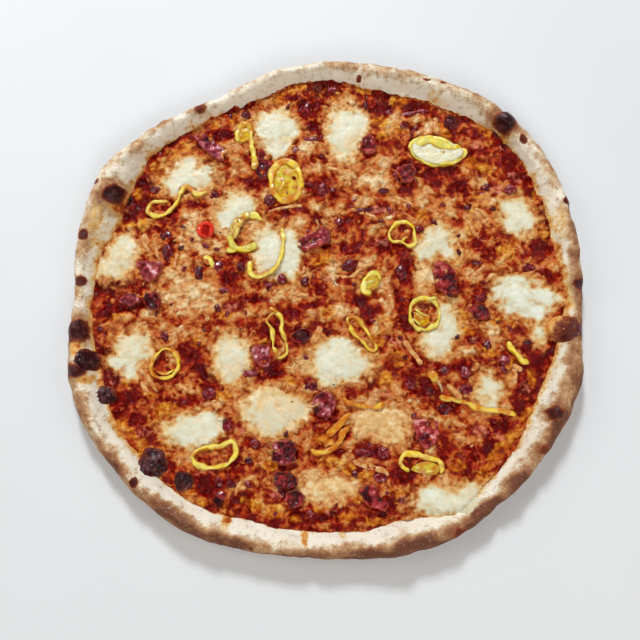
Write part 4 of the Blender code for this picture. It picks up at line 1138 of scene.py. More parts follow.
BED_BURNS = graded({
    0.8: ((-85, -164, 5, 4),),
    0.7: ((108, 153, 6, 6),),
    0.6: ((-120, 91, 5, 4),),
    0.55: ((-8, 186, 6, 6),),
    0.5: ((68, 150, 4, 4), (65, -134, 3, 3)),
    0.4: ((-40, 104, 4, 3), (80, -9, 6, 3)),
})  # fmt: skip


def melt_finish(name, look):
    """Sauce, melted cheese and mozzarella running into each other, as one material."""
    f = Finish(name)
    cover, relief, gold, pink_highlight = (f.attribute(key) for key in ("cover", "relief", "gold", "pink_highlight"))
    milk, browned, burnt, calm = (f.attribute(key) for key in ("milk", "browned", "burnt", "calm"))
    middling, small, fine = f.noise(7.5, 2, 0.5, 1.0), f.noise(3.0, 2, 0.5, 0.6), f.noise(1.3, 2)
    wide, lumps = f.noise(14, 2, 0.5, 0.6), f.cells(5.2, 1.3)
    # The relief and lump terms make bump tops paler and the hollows redder: partly cheese lying
    # over sauce, partly painted light and shade.
    uneven = f.sum((relief, 0.34), (wide, 0.46), (middling, 0.66), (small, 0.26), -0.86)
    uneven = f.maths("MULTIPLY", uneven, f.sum((calm, -0.62), 1.0))
    base = f.sum((uneven, 1.0), (cover, 1.05), -0.02)
    melted = f.sum((base, 1.0), (lumps, -0.22), 0.09)
    color = f.ramp(
        melted,
        (0.00, (100, 0, 0)), (0.16, (132, 4, 0)), (0.30, look.sauce), (0.43, (184, 64, 18)),
        (0.56, look.melted_cheese), (0.70, (214, 142, 78)), (0.86, (228, 182, 124)),
        (1.00, (242, 212, 164)),
    )
    # Dark red in the gaps between lumps: partly sauce showing between them, partly painted shade in
    # the crevices.
    gap_sauce_and_shade = f.step(f.sum((lumps, 1.0), (small, -0.6), (base, -0.9), 0.72), 0.35, 0.85)
    color = f.over(color, f.maths("MULTIPLY", gap_sauce_and_shade, f.sum((calm, -0.3), 0.5)), (104, 8, 2))
    glow = f.step(f.sum((gold, 1.0), (middling, 0.9), (small, 0.5), -0.7), 0.1, 0.7)
    # Paler on the lump tops here too: partly painted light.
    golden = f.ramp(
        f.sum((relief, 0.5), (middling, 0.9), (small, 0.5), (lumps, -0.3), -0.35),
        (0.15, (150, 52, 8)), (0.42, (208, 112, 14)), (0.70, (230, 162, 46)),
        (1.00, (246, 210, 120)),
    )
    color = f.over(color, glow, golden, 0.8)
    # Painted highlight: pink patches on the lump tops stand in for the shine of wet sauce.
    painted_pink_highlight = f.step(f.sum((pink_highlight, 0.55), (small, 1.0), (fine, 0.5), (lumps, -0.5), -0.72), 0.05, 0.45)
    color = f.over(color, painted_pink_highlight, (222, 136, 112), 0.7)
    white = f.sum(
        (milk, 1.0), (middling, 0.65), (small, 0.35), (lumps, -0.2), (browned, -0.10), -0.42
    )
    fresh = f.ramp(
        f.sum((milk, 0.9), (middling, 0.5), (small, 0.25), (relief, 0.15), (browned, -0.35), -0.58),
        (0.10, (204, 150, 78)), (0.32, (212, 184, 122)), (0.60, look.mozzarella),
        (0.95, (232, 236, 226)),
    )
    tan = f.ramp(
        f.sum((middling, 0.8), (small, 0.5), (relief, 0.4), -0.4),
        (0.2, (200, 138, 74)), (0.5, (224, 188, 130)), (0.8, (238, 222, 184)),
    )
    toasted = f.step(f.sum((browned, 1.0), (middling, 1.2), (small, 0.5), -0.9), 0.0, 0.6)
    fresh = f.over(fresh, toasted, tan)
    color = f.over(color, f.step(white, 0.02, 0.4), (212, 142, 70), 0.75)
    color = f.over(color, f.step(white, 0.16, 0.84), fresh)
    dark = f.sum((burnt, 1.0), (middling, 0.6), (small, 0.4), -0.5)
    color = f.over(color, f.step(dark, 0.15, 0.45), (120, 34, 14))
    color = f.over(color, f.step(dark, 0.42, 0.75), look.char)
    smooth = f.step(white, 0.25, 0.75)
    strength = f.sum((smooth, -0.82), 1.0)
    # Painted shade: the colour is multiplied darker in the crevices between lumps, less so on the
    # mozzarella.
    cavity_shade = f.sum((lumps, 1.0), (small, -0.5), (middling, -0.6), (base, -0.35), 0.78)
    cavity_shade = f.step(cavity_shade, 0.35, 1.0)
    color = f.shade(f.maths("MULTIPLY", cavity_shade, strength), color, (0.68, 0.40, 0.22))
    height = f.sum((lumps, -0.75), (fine, 0.16), (small, 0.5), (middling, 0.8))
    normal = f.bump(height, strength, 0.0042)
    rough = f.sum((melted, 0.24), (smooth, 0.12), (f.noise(4, 2), 0.30), -0.06)
    return f.done(color, rough, normal, 0.14, flesh=(0.06, 0.002, (1.0, 0.6, 0.35)))


class PIZZA_OT_bed(Operator):
    """Makes the bed of tomato sauce and melted cheese"""

    bl_idname = "pizza.bed"
    bl_label = "Sauce and cheese bed"

    def execute(self, context):
        rings = 172
        xs, ys, starts = [np.zeros(1)], [np.zeros(1)], [0]
        for ring in range(1, rings + 1):
            turn = np.arange(6 * ring) / (6 * ring) * math.tau
            radius = (around(RIM_INSIDE, turn) + lap(turn)) * ring / rings
            starts.append(starts[-1] + max(6 * (ring - 1), 1))
            xs.append(radius * np.cos(turn))
            ys.append(radius * np.sin(turn))
        faces = self.web(starts)
        x, y = np.concatenate(xs) + RIM_CENTRE[0], np.concatenate(ys) + RIM_CENTRE[1]
        height, values = bed_fields(x, y)
        radius, angle = polar(x, y)
        beyond = radius - around(RIM_INSIDE, angle)
        height = height - 0.5 * ease(beyond, -6, 0)
        near = beyond > -2
        slope = Laid.top(x[near], y[near])
        out = beyond[near] / lap(angle[near])
        lip = 0.6 + 0.3 * noise(x[near], y[near], 0, 7, 77, 2)
        level = height[near] - 1.8 * ease(out, 0.8, 1)
        height[near] = np.maximum(level, slope + 0.3 - 1.5 * ease(out, lip, lip + 0.4))
        edge, first = slice(starts[-1], len(x)), len(x)
        low = np.stack([x[edge], y[edge], np.full(len(x[edge]), BED_UNDERSIDE)], 1)
        points = np.concatenate([np.stack([x, y, height], 1), low])
        faces += band(starts[-1], first, len(low))
        faces.append(tuple(range(first + len(low) - 1, first - 1, -1)))
        values = {key: np.concatenate([v, v[edge]]) for key, v in values.items()}
        name = "sauce_and_cheese"
        finish = melt_finish(name, context.scene.pizza_look)
        outward(new_piece(name, points, faces, finish, ("sauce_cheese_bed",), values))
        return {"FINISHED"}

    def web(self, starts):
        """Triangles between rings of 6, 12, 18 and so on points round a middle point."""
        faces = []
        for ring in range(1, len(starts)):
            inner, outer = starts[ring - 1], starts[ring]
            within, around_all = max(6 * (ring - 1), 1), 6 * ring
            for side in range(6):
                for k in range(ring):
                    at, below = side * ring + k, side * (ring - 1) + k
                    here, ahead = outer + at, outer + (at + 1) % around_all
                    faces.append((here, ahead, inner + below % within))
                    if k < ring - 1:
                        pair = inner + below % within, inner + (below + 1) % within
                        faces.append((pair[0], ahead, pair[1]))
        return faces


# --- mozzarella ---
POOL_SECTORS = 132
RIM_LEVEL = 13


def pool_reach(ellipses, seed):
    """How far a pool runs from its start each way, with a ragged edge."""
    start = ellipses[0][:2]
    angles = np.arange(POOL_SECTORS)[:, None] / POOL_SECTORS * math.tau
    radii = np.arange(0.5, 60, 0.4)[None, :]
    x, y = start[0] + radii * np.cos(angles), start[1] + radii * np.sin(angles)
    away = soft_union(x, y, ellipses, POOL_SPREAD * 1.04)
    out = away + 0.12 * noise(x, y, 0, 9, seed, 3, 0.6) > 1
    first = np.where(out.any(1), out.argmax(1), radii.shape[1] - 1)
    return start, blurred(radii[0, np.maximum(first, 3)], 1.2, True)


class PIZZA_OT_mozzarella(Operator):
    """Makes the melted pools of fresh mozzarella"""

    bl_idname = "pizza.mozzarella"
    bl_label = "Mozzarella pools"

    def execute(self, context):
        look = context.scene.pizza_look
        finish = melt_finish("mozzarella", look)
        for number, (_, ellipses) in enumerate(POOLS, 1):
            start, reach = pool_reach(ellipses, 80 + number)

            def top_of(x, y, share, number=number):
                calm = self.calm(x, y, share)
                floor = calm if np.ptp(calm) else bed_fields(x, y)[0]
                dome = (1 - share**2) ** 1.3
                lumps = 0.45 * noise(x, y, 0, 9, number, 2)
                level = floor * (1 - dome) + calm * dome - 0.9 * (1 - dome)
                return level + look.pool_height * dome + lumps * (0.3 + 0.7 * dome)

            points, faces, _ = patch(start, reach, top_of, rings=26, foot=0.7)
            _, values = bed_fields(points[:, 0], points[:, 1])
            name = f"mozzarella_{number:02d}"
            new_piece(f"pool_{number:02d}", points, faces, finish, (name,), values)
        return {"FINISHED"}

    def calm(self, x, y, share):
        """The even level of what lies under a pool's middle, which follows the rim's slope."""
        height = Laid.top(x, y)
        if height.max() < RIM_LEVEL:
            return np.full(len(x), height[share < 0.9].mean())
        return height


DOME_SECTORS = 96


class PIZZA_OT_blisters(Operator):
    """Makes the burnt, wrinkled blisters over the rim's inner edge"""

    bl_idname = "pizza.blisters"
    bl_label = "Burnt blisters"

    def execute(self, context):
        finish = crust_finish(context.scene.pizza_look, "burnt_blisters")
        turn = np.arange(DOME_SECTORS) / DOME_SECTORS * math.tau
        parts = []
        for number, (px, py, length, width, spin, height, dark) in enumerate(BURNT_DOMES, 1):
            swing = turn - math.radians(spin)
            reach = length * width / np.hypot(width * np.cos(swing), length * np.sin(swing))
            ragged = noise(3 * np.cos(turn), 3 * np.sin(turn), number, 2.4, 95, 2)
            reach = reach * (1.04 + 0.17 * ragged)

            def top_of(x, y, share, number=number, height=height):
                floor = Laid.top(x, y)
                middle = np.percentile(floor, 55)
                even = middle + 0.5 * (floor - middle)
                dome = np.clip(1 - share**2.0, 0, 1) ** 0.9
                wrinkle = np.abs(noise(x, y, number, 5, 96, 2)) * 1.6
                wrinkle = wrinkle - 0.5 * noise(x, y, number, 12, 97)
                return floor * (1 - dome) + (even + height - wrinkle) * dome - 0.6 * (1 - dome)

            points, faces, share = patch((px, py), reach, top_of, rings=28, foot=0.9)
            x, y = points[:, 0], points[:, 1]
            shade = 1.35 - 0.8 * share**4 + 0.35 * noise(x, y, number, 6, 98, 2)
            lower = 0.028 * (py - y + x - px) if dark < 0.7 else 0 * y
            plain = np.ones(len(x))
            values = {"toast": 0.9 * plain, "oil": 0.45 + 0.6 * share * dark, "cream": 0 * plain}
            values["char"] = np.clip(dark * shade + lower - 0.2, 0, 1.1)
            parts.append((points, faces, values))
        points, faces, values = merged(parts)
        outward(new_piece("burnt_blisters", points, faces, finish, (), values))
        return {"FINISHED"}


# --- ham ---
def ham_finish(look):
    """Moist cooked ham, from red to mauve, with crisp edges."""
    f = Finish("ham")
    rim, tone, light, relief = (f.attribute(key) for key in ("rim", "tone", "light", "relief"))
    wide, middling, fine = f.noise(7, 2, 0.5, 0.8), f.noise(3, 3, 0.55), f.noise(1.2, 3, 0.6)
    # Lighter where the slice's folds rise, as painted light, with random tone besides; the palest
    # stop of each ramp is a painted highlight.
    shade = f.sum((relief, 0.9), (middling, 1.2), (fine, 0.5), (light, 0.7), -1.23)
    red = f.ramp(
        shade,
        (0.05, (58, 0, 4)), (0.30, (112, 4, 8)), (0.55, look.ham), (0.82, (196, 84, 80)),
        (1.00, (232, 168, 160)),
    )
    mauve = f.ramp(
        shade,
        (0.05, (54, 0, 12)), (0.30, (104, 12, 22)), (0.55, (140, 42, 50)), (0.80, (190, 104, 110)),
        (1.00, (228, 198, 208)),
    )
    color = f.mix(f.step(f.sum((tone, 1.0), (wide, 0.9), -0.45), 0.3, 0.7), red, mauve)
    crisp = f.sum((rim, 1.0), (wide, 1.7), (fine, 0.3), -1.1)
    color = f.over(color, f.step(crisp, 0.5, 0.9), (188, 92, 62), 0.5)
    normal = f.bump(f.sum((fine, 0.5), (middling, 0.7)), 0.8, 0.0014)
    rough = f.sum((fine, 0.35), 0.16)
    return f.done(color, rough, normal, 0.16, coat=(0.2, 0.08), flesh=(0.06, 0.002))


HAM_SECTORS = 84
FLESH_SECTORS = 72


def polygon_reach(start, corners, sectors):
    """How far each way a polygon's outline lies from a point inside it."""
    angles = np.arange(sectors) / sectors * math.tau
    reach = np.zeros(sectors)
    corners = np.asarray(corners, float)
    for corner, after in zip(corners, np.roll(corners, -1, 0), strict=True):
        first, edge = corner - start, after - corner
        turn = np.cos(angles) * edge[1] - np.sin(angles) * edge[0]
        turn = np.where(np.abs(turn) < 1e-9, 1e-9, turn)
        along = (first[0] * edge[1] - first[1] * edge[0]) / turn
        share = (first[0] * np.sin(angles) - first[1] * np.cos(angles)) / turn
        hit = (along > 0) & (share >= -1e-6) & (share <= 1 + 1e-6)
        reach = np.where(hit, np.maximum(reach, along), reach)
    return reach


class PIZZA_OT_ham(Operator):
    """Makes the crumpled slices and chunks of ham"""

    bl_idname = "pizza.ham"
    bl_label = "Ham"

    def execute(self, context):
        finish = ham_finish(context.scene.pizza_look)
        for number, (thickness, corners) in enumerate(HAM, 1):
            start = np.mean(corners, axis=0)
            reach = blurred(polygon_reach(start, corners, HAM_SECTORS), 0.7, True)
            turn = np.arange(len(reach)) / len(reach) * math.tau
            ragged = noise(np.cos(turn) * 3, np.sin(turn) * 3, number, 1.3, 9, 3)
            reach = reach * (1.08 + 0.13 * ragged)

            def top_of(x, y, share, number=number, thickness=thickness):
                floor = np.percentile(Laid.top(x, y)[share < 0.8], 65)
                fold = noise(x, y, number, 7, 91, 2) * 0.42 * thickness
                curl = ease(share, 0.5, 0.9) * (1.4 + 1.8 * noise(x, y, number, 8, 92))
                edge = np.clip(1 - share**14, 0, 1) ** 0.5
                body = thickness * 0.6 + fold + curl
                grain = 0.2 * noise(x, y, number, 2.2, 93)
                return floor - 0.3 + body * (0.1 + 0.9 * edge) + grain

            points, faces, share = patch(start, reach, top_of, rings=20, foot=1.2)
            tone, light = HAM_TONES[number - 1]
            values = {
                "rim": ease(share, 0.72, 0.95),
                "tone": np.full(len(points), tone),
                "light": np.full(len(points), light),
                # The folds' own noise, so that the colour is painted lighter where they rise.
                "relief": 0.5 + 0.6 * noise(points[:, 0], points[:, 1], number, 7, 91, 2),
            }
            piece, node = f"ham_slice_{number:02d}", f"ham_{number:02d}"
            new_piece(piece, points, faces, finish, (node,), values)
        return {"FINISHED"}


# How mauve and how light each slice looks.
HAM_TONES = (
    (0.9, 0.7), (0.1, 0.27), (0.5, 0.7), (0.0, 0.36), (0.5, 0.65), (0.2, 0.12), (1.0, 0.55),
    (0.6, 0.45), (1.0, 0.33), (0.0, 0.23), (0.2, 0.28), (0.1, 0.5), (0.3, 0.78), (0.2, 0.23),
    (0.6, 0.75), (0.0, 0.2), (0.3, 0.72), (0.3, 0.52),
)  # fmt: skip


# --- peppers ---
def pepper_finish(look):
    """Wet yellow pepper, greenish and browned in places, with cheese on some of its flesh."""
    f = Finish("yellow_pepper")
    up, skin_and_flank_shade, inner = (f.attribute(key) for key in ("up", "skin_and_flank_shade", "inner"))
    browning, pale = f.attribute("browning"), f.attribute("pale")
    wide, middling, small = f.noise(11, 1), f.noise(4.5, 2), f.noise(1.6, 2)
    # Paler towards the wall's top, partly the paler cut face and partly painted light; the palest
    # stop is a painted highlight.
    color = f.ramp(
        f.sum((up, 0.7), (middling, 0.8), (small, 0.3), (wide, 0.5), -0.75),
        (0.05, (160, 84, 4)), (0.30, (208, 148, 14)), (0.58, look.pepper), (0.90, (246, 236, 146)),
    )
    green = f.step(wide, 0.45, 0.62)
    color = f.over(color, green, (204, 202, 80), 0.6)
    # Darker olive on the wall's sides: partly the skin's own colour, partly painted shade.
    color = f.over(color, skin_and_flank_shade, (176, 140, 14), 0.4)
    color = f.over(color, inner, (186, 104, 12), 0.6)
    brown = f.sum((browning, 1.0), (wide, 1.3), (middling, 0.9), (up, -0.3), (small, 0.4), -1.2)
    color = f.over(color, f.step(brown, 0.0, 0.45), (204, 120, 20))
    color = f.over(color, f.step(brown, 0.45, 0.85), (160, 58, 16))
    milky = f.step(f.sum((pale, 1.0), (middling, 0.5), (small, 0.3), -0.4), 0.2, 0.7)
    cheese = f.ramp(small, (0.3, (224, 208, 150)), (0.7, (244, 240, 222)))
    color = f.over(color, milky, cheese)
    normal = f.bump(f.sum((small, 0.5), (middling, 0.6)), 0.4, 0.001)
    rough = f.sum((small, 0.35), 0.16)
    flesh = (0.3, 0.004, (1.0, 0.8, 0.2))
    return f.done(color, rough, normal, 0.25, coat=(0.2, 0.06), flesh=flesh)


def sideways(line):
    """The level direction across a line at each of its points."""
    along = np.gradient(line, axis=0)
    along /= np.maximum(np.hypot(*along.T), 1e-9)[:, None]
    return np.stack([along[:, 1], -along[:, 0]], 1)


def drape(line, closed, width, sink):
    """The height that a strip's underside takes over what it crosses."""
    side = sideways(line)
    shifts = (-0.35, 0, 0.35)
    top = np.max([Laid.top(*(line + side * shift * width).T) for shift in shifts], axis=0)
    return np.maximum(blurred(top, 3, closed), blurred(top, 7, closed)) - sink


def tapered(at, floor, reach):
    """How a strip narrows towards its two ends, from places along it."""
    ends = np.minimum(at, at[::-1])
    return floor + (1 - floor) * np.sqrt(np.clip(ends / reach, 0, 1))


PEPPER_SIDES = 14


def pepper_wall(points, closed, wall, height, seed, browning):
    """The uneven wall of a ring or strip, along its middle line."""
    line, length = smooth_line(points, closed, LINE_STEP)
    count = len(line)
    at = np.arange(count) * LINE_STEP
    turn = np.arange(count) / count * math.tau
    loop = (at, 0 * turn)
    if closed:
        loop = (np.cos(turn) * length / 6, np.sin(turn) * length / 6)
    line = line + sideways(line) * (0.5 * noise(*loop, seed, 5, 3, 2))[:, None]
    calm = min(1.0, 3.4 / wall)
    width = wall * np.maximum(1.05 + 0.7 * calm * noise(*loop, seed, 9, 4, 2), 0.5)
    tall = height * (0.95 + 0.45 * calm * noise(*loop, seed, 8, 5, 2))
    lean = 0.6 * noise(*loop, seed, 16, 6)
    if not closed:
        taper = tapered(at, floor=0.25, reach=2.6)
        width, tall = width * taper, tall * taper
    base = drape(line, closed, wall, sink=0.9) + 0.7 * noise(*loop, seed, 13, 7)
    sizes = (base, width, tall, lean)
    ring, faces, up, across = swept(line, closed, *sizes, sides=PEPPER_SIDES, power=3.2)
    ahead = np.roll(line, -1, 0)
    turned = np.sign(np.sum(line[:, 0] * ahead[:, 1] - line[:, 1] * ahead[:, 0]))
    ragged = 0.5 * noise(*np.repeat(loop, PEPPER_SIDES, 1), seed, 6, 8)
    inner = ease(-turned * across + ragged, 0.0, 0.9) * (1 - 0.5 * up)
    plain = np.zeros(len(up))
    values = {"up": up, "skin_and_flank_shade": ease(np.abs(across), 0.5, 1.0), "inner": inner}
    values.update(browning=plain + browning, pale=plain)
    return ring, faces, values


def pepper_flesh(points, shrink, height, seed, browning, pale):
    """The low flesh or melted cheese inside a ring."""
    line, _ = smooth_line(points, True, 1.0)
    start = line.mean(0)
    reach = polygon_reach(start, line, FLESH_SECTORS) * shrink
    reach = np.maximum(blurred(reach, 1.5, True), 0.8)

    def top_of(x, y, share):
        floor = Laid.top(x, y)
        level = np.percentile(floor[share < 0.8], 60)
        ribs = 0.5 * noise(x, y, seed, 5.0, seed, 2) + 0.12 * noise(x, y, seed, 1.6, seed + 3, 2)
        return level + height * (1 - 0.3 * share**4) + ribs * height * 0.5

    flesh, faces, share = patch(start, reach, top_of, rings=10, foot=1.0)
    relief = noise(flesh[:, 0], flesh[:, 1], seed, 4.0, seed, 2)
    plain = np.zeros(len(flesh))
    values = {"up": 0.5 + 0.5 * relief, "skin_and_flank_shade": plain + 0.25, "inner": ease(share, 0.5, 1.0) * 0.5}
    values.update(browning=plain + browning, pale=plain + pale)
    return flesh, faces, values


class PIZZA_OT_peppers(Operator):
    """Makes the rings and strips of yellow pepper and the one red ring"""

    bl_idname = "pizza.peppers"
    bl_label = "Pepper rings"

    def execute(self, context):
        look = context.scene.pizza_look
        finish = pepper_finish(look)
        for number, (closed, wall, browning, line) in enumerate(PEPPERS, 1):
            parts = [pepper_wall(line, closed, wall, look.pepper_height, number, browning)]
            for rib in PEPPER_RIBS.get(number, ()):
                parts.append(pepper_wall(*rib, number + 50, browning))
            for outline, shrink, height, tone, pale in PEPPER_FLESH.get(number, ()):
                parts.append(pepper_flesh(outline or line, shrink, height, number + 70, tone, pale))
            points, faces, values = merged(parts)
            piece, slot = f"pepper_{number:02d}", "yellow_pepper"
            nodes = (f"{slot}_{number:02d}",)
            outward(new_piece(piece, points, faces, finish, nodes, values))
        x, y, radius, width = TOMATO_RING
        turns = np.arange(10) / 10 * math.tau
        corners = [(x + radius * math.cos(a), y + radius * math.sin(a)) for a in turns]
        cup = pepper_flesh(corners, shrink=1.0, height=0.8, seed=34, browning=0.0, pale=0.0)
        cup[2]["up"] = cup[2]["up"] * 0.3
        wall = pepper_wall(corners, True, width, height=3.4, seed=33, browning=0.0)
        points, faces, values = merged([wall, cup])
        piece = "red_ring"
        outward(new_piece(piece, points, faces, red_finish(), ("tomato_ring",), values))
        return {"FINISHED"}


# Ribs and inner walls of some rings: line, closed, width and height.
PEPPER_RIBS = {
    3: (
        (((76, 129), (83, 134), (92, 134), (101, 130), (109, 128)), False, 7.0, 4.2),
        (((104, 127), (111, 129), (116, 128)), False, 4.0, 3.4),
    ),
    2: ((((-41, 90), (-37, 96), (-36, 104), (-38, 110)), False, 2.4, 3.0),),
    5: (
        (((-84, 38), (-76, 40), (-68, 40), (-58, 44)), False, 4.4, 2.6),
        (((-103, 33), (-97, 30), (-94, 23)), False, 4.4, 2.4),
    ),
    7: ((((63, 45), (65, 49), (69, 51)), False, 1.8, 3.0),),
    8: ((((33, 8), (38, 12), (41, 16)), False, 4.0, 3.4),),
    9: (
        (((71, -14), (76, -17), (81, -22)), False, 1.8, 3.0),
        (((69, -19), (74, -22), (78, -27)), False, 1.8, 2.8),
        (((72, -11), (76, -14), (84, -18)), False, 1.8, 3.0),
        (((91, -2), (87, -3), (84, -6)), False, 2.6, 3.6),
    ),
    10: ((((-47, -10), (-42, -13), (-36, -17)), False, 2.2, 3.0),),
    12: ((((-138, -62), (-131, -64), (-123, -61)), False, 1.8, 2.6),),
    15: ((((66, -140), (72, -138), (79, -141), (86, -140)), False, 3.0, 3.0),),
    16: (
        (((97, -73), (103, -80), (108, -86)), False, 4.0, 3.0),
        (((83, -62), (86, -67), (88, -71)), False, 6.0, 2.8),
    ),
    18: ((((0, -114), (6, -108), (13, -101), (19, -96)), False, 4.6, 2.6),),
}
# Inside some rings: outline (none for the ring's own), share of it, height, browning and cheese.
PEPPER_FLESH = {
    1: ((((-77, 134), (-76, 144), (-70, 151), (-65, 146), (-65, 136)), 0.9, 2.2, 0.2, 0.0),),
    2: ((None, 0.9, 1.8, 0.0, 0.0),),
    3: ((None, 0.98, 2.6, 0.0, 0.9),),
    5: (
        (
            ((-82, 50), (-81, 58), (-76, 66), (-69, 71), (-61, 71),
             (-66, 66), (-71, 60), (-74, 52), (-77, 47)),
            1.0, 3.0, 0.0, 0.3,
        ),
    ),
    8: ((((31, 4), (31, 12), (37, 18), (44, 16), (42, 6)), 0.9, 2.4, 0.0, 0.0),),
    9: ((((70, -14), (76, -12), (84, -17), (85, -24), (79, -27), (71, -22)), 0.8, 1.4, 0.3, 0.0),),
    15: ((((66, -141), (70, -135), (80, -133), (89, -137), (86, -144)), 0.9, 1.8, 0.1, 0.0),),
}  # fmt: skip


def red_finish():
    """The glossy red of the one small ring."""
    f = Finish("red_ring")
    up = f.attribute("up")
    fine = f.noise(1.5, 2)
    color = f.ramp(
        f.sum((up, 0.7), (fine, 0.4)),
        (0.1, (110, 6, 6)), (0.6, (206, 24, 10)), (1.0, (226, 62, 36)),
    )
    rough, normal = f.sum((fine, 0.2), 0.14), f.bump(fine, 0.3, 0.0006)
    return f.done(color, rough, normal, 0.2, coat=(0.2, 0.1), flesh=(0.15, 0.003))


# --- strips ---
def strip_finish(look):
    """Browned, softened strips, darker underneath."""
    f = Finish("browned_strips")
    up, tone = f.attribute("up"), f.attribute("tone")
    middling, fine = f.noise(3.5, 2), f.noise(1.2, 2)
    color = f.ramp(
        f.sum((up, 0.5), (middling, 1.2), (tone, 0.3), (fine, 0.3), -0.75),
        (0.05, (110, 22, 10)), (0.30, (168, 76, 24)), (0.60, look.strip), (0.95, (228, 182, 120)),
    )
    normal = f.bump(f.sum((fine, 0.6), (middling, 0.4)), 0.4, 0.0008)
    rough = f.sum((fine, 0.25), 0.2)
    return f.done(color, rough, normal, 0.2, coat=(0.2, 0.1), flesh=(0.15, 0.003))


# How far out a scattered strip's middle and its ends may lie, and the gap between strips.
STRIP_REACH = 178
STRIP_LIMIT = 180
STRIP_GAP = 12


class PIZZA_OT_strips(Operator):
    """Makes the browned strips that lie between the toppings"""

    bl_idname = "pizza.strips"
    bl_label = "Browned strips"

    def execute(self, context):
        look = context.scene.pizza_look
        draw = np.random.default_rng(look.seed)
        lines = [(width, line, 0.65) for width, line in STRIPS]
        taken = [np.mean(line, axis=0) for _, line in STRIPS] + topped()
        while len(lines) < len(STRIPS) + look.strip_count:
            turn, radius = draw.uniform(0, math.tau), STRIP_REACH * math.sqrt(draw.uniform(0, 1))
            spot = np.array((radius * math.cos(turn), radius * math.sin(turn)))
            if min(np.hypot(*(spot - other)) for other in taken) < STRIP_GAP:
                continue
            if on_pool(*spot, 1.05):
                continue
            taken.append(spot)
            length, bend, way = draw.uniform(7, 15), draw.uniform(-3, 3), draw.uniform(0, math.tau)
            local = np.array(((-0.5, 0), (-0.15, 1), (0.2, 1), (0.5, -0.2))) * (length, bend)
            c, s = math.cos(way), math.sin(way)
            line = spot + local @ np.array(((c, s), (-s, c)))
            if polar(*line.T)[0].max() > STRIP_LIMIT:
                continue
            lines.append((draw.uniform(2.0, 3.6), line, draw.uniform(0.1, 0.8)))
        parts = []
        for number, (wide, line, tone) in enumerate(lines):
            line, _ = smooth_line(line, False, LINE_STEP)
            at = np.arange(len(line)) * LINE_STEP
            taper = tapered(at, floor=0.2, reach=2.5)
            width = wide * (1.0 + 0.45 * noise(at, number, 0, 6, 7)) * taper
            tall = 1.8 * (1 + 0.3 * noise(at, number, 3, 5, 8)) * taper
            lean = 0.3 * noise(at, number, 9, 9, 6)
            base = drape(line, False, wide, sink=1.1) + 0.7 * noise(at, number, 7, 9, 9)
            sizes = (base, width, tall, lean)
            points, faces, up, _ = swept(line, False, *sizes, sides=10, power=2.4)
            parts.append((points, faces, {"up": up, "tone": np.full(len(up), tone)}))
        points, faces, values = merged(parts)
        finish, slot = strip_finish(look), "sauce_and_cheese"
        outward(new_piece("browned_strips", points, faces, finish, (), values, lay=False))
        return {"FINISHED"}


def topped():
    """Points along the pepper walls and over the ham, which the small bits keep clear of."""
    spots = [np.array(TOMATO_RING[:2])]
    for closed, _, _, line in PEPPERS:
        spots.extend(smooth_line(line, closed, 5.0)[0])
    spots.extend(np.mean(corners, axis=0) for _, corners in HAM)
    return spots


def on_pool(x, y, grow):
    """Whether a measured point lies on a mozzarella pool that is so many times as large."""
    for _, ellipses in POOLS:
        for ellipse in ellipses:
            along, across = from_ellipse(x, y, ellipse, grow)
            if along * along + across * across < 1:
                return True
    return False


# --- scattered bits, by Geometry Nodes ---
UNEVENNESS = (("Unevenness", 1.0), ("Fine unevenness", 0.4))


def scatter_tree(name, shape, material):
    """A node tree that puts an uneven copy of a small shape on every point, and joins them."""
    tree = bpy.data.node_groups.new(name, "GeometryNodeTree")
    face = tree.interface
    face.new_socket("Geometry", in_out="OUTPUT", socket_type="NodeSocketGeometry")
    face.new_socket("Points", in_out="INPUT", socket_type="NodeSocketGeometry")
    for label in ("Unevenness", "Bump size", "Fine unevenness"):
        face.new_socket(label, in_out="INPUT", socket_type="NodeSocketFloat")

    def node(kind, **inputs):
        return new_node(tree, kind, inputs).outputs[0]

    def maths(operation, first, second):
        made = tree.nodes.new("ShaderNodeMath")
        made.operation = operation
        plug(tree, made.inputs[0], first)
        plug(tree, made.inputs[1], second)
        return made.outputs[0]

    def stored(key):
        made = tree.nodes.new("GeometryNodeInputNamedAttribute")
        made.data_type = "FLOAT_VECTOR"
        made.inputs["Name"].default_value = key
        return made.outputs["Attribute"]

    given = tree.nodes.new("NodeGroupInput").outputs
    rotation = node("FunctionNodeEulerToRotation", Euler=stored("turn"))
    geometry = node(
        "GeometryNodeInstanceOnPoints",
        Points=given["Points"],
        Instance=shape(node),
        Rotation=rotation,
        Scale=stored("spread"),
    )
    geometry = node("GeometryNodeRealizeInstances", Geometry=geometry)
    for label, factor in UNEVENNESS:
        scale = maths("DIVIDE", 1 / factor, given["Bump size"])
        pattern = node("ShaderNodeTexNoise", Vector=node("GeometryNodeInputPosition"), Scale=scale)
        amount = maths("MULTIPLY", maths("SUBTRACT", pattern, 0.5), given[label])
        offset = tree.nodes.new("ShaderNodeVectorMath")
        offset.operation = "SCALE"
        plug(tree, offset.inputs[0], node("GeometryNodeInputNormal"))
        plug(tree, offset.inputs["Scale"], amount)
        geometry = node("GeometryNodeSetPosition", Geometry=geometry, Offset=offset.outputs[0])
    geometry = node("GeometryNodeSetMaterial", Geometry=geometry, Material=material)
    plug(tree, tree.nodes.new("NodeGroupOutput").inputs["Geometry"], geometry)
    return tree


def lump_shape(node):
    """A ball of 48 faces."""
    return node("GeometryNodeMeshUVSphere", Radius=1.0, Segments=8, Rings=6)


def chunk_shape(node):
    """A ball of 320 faces, for the pieces that are few."""
    return node("GeometryNodeMeshIcoSphere", Radius=1.0, Subdivisions=3)


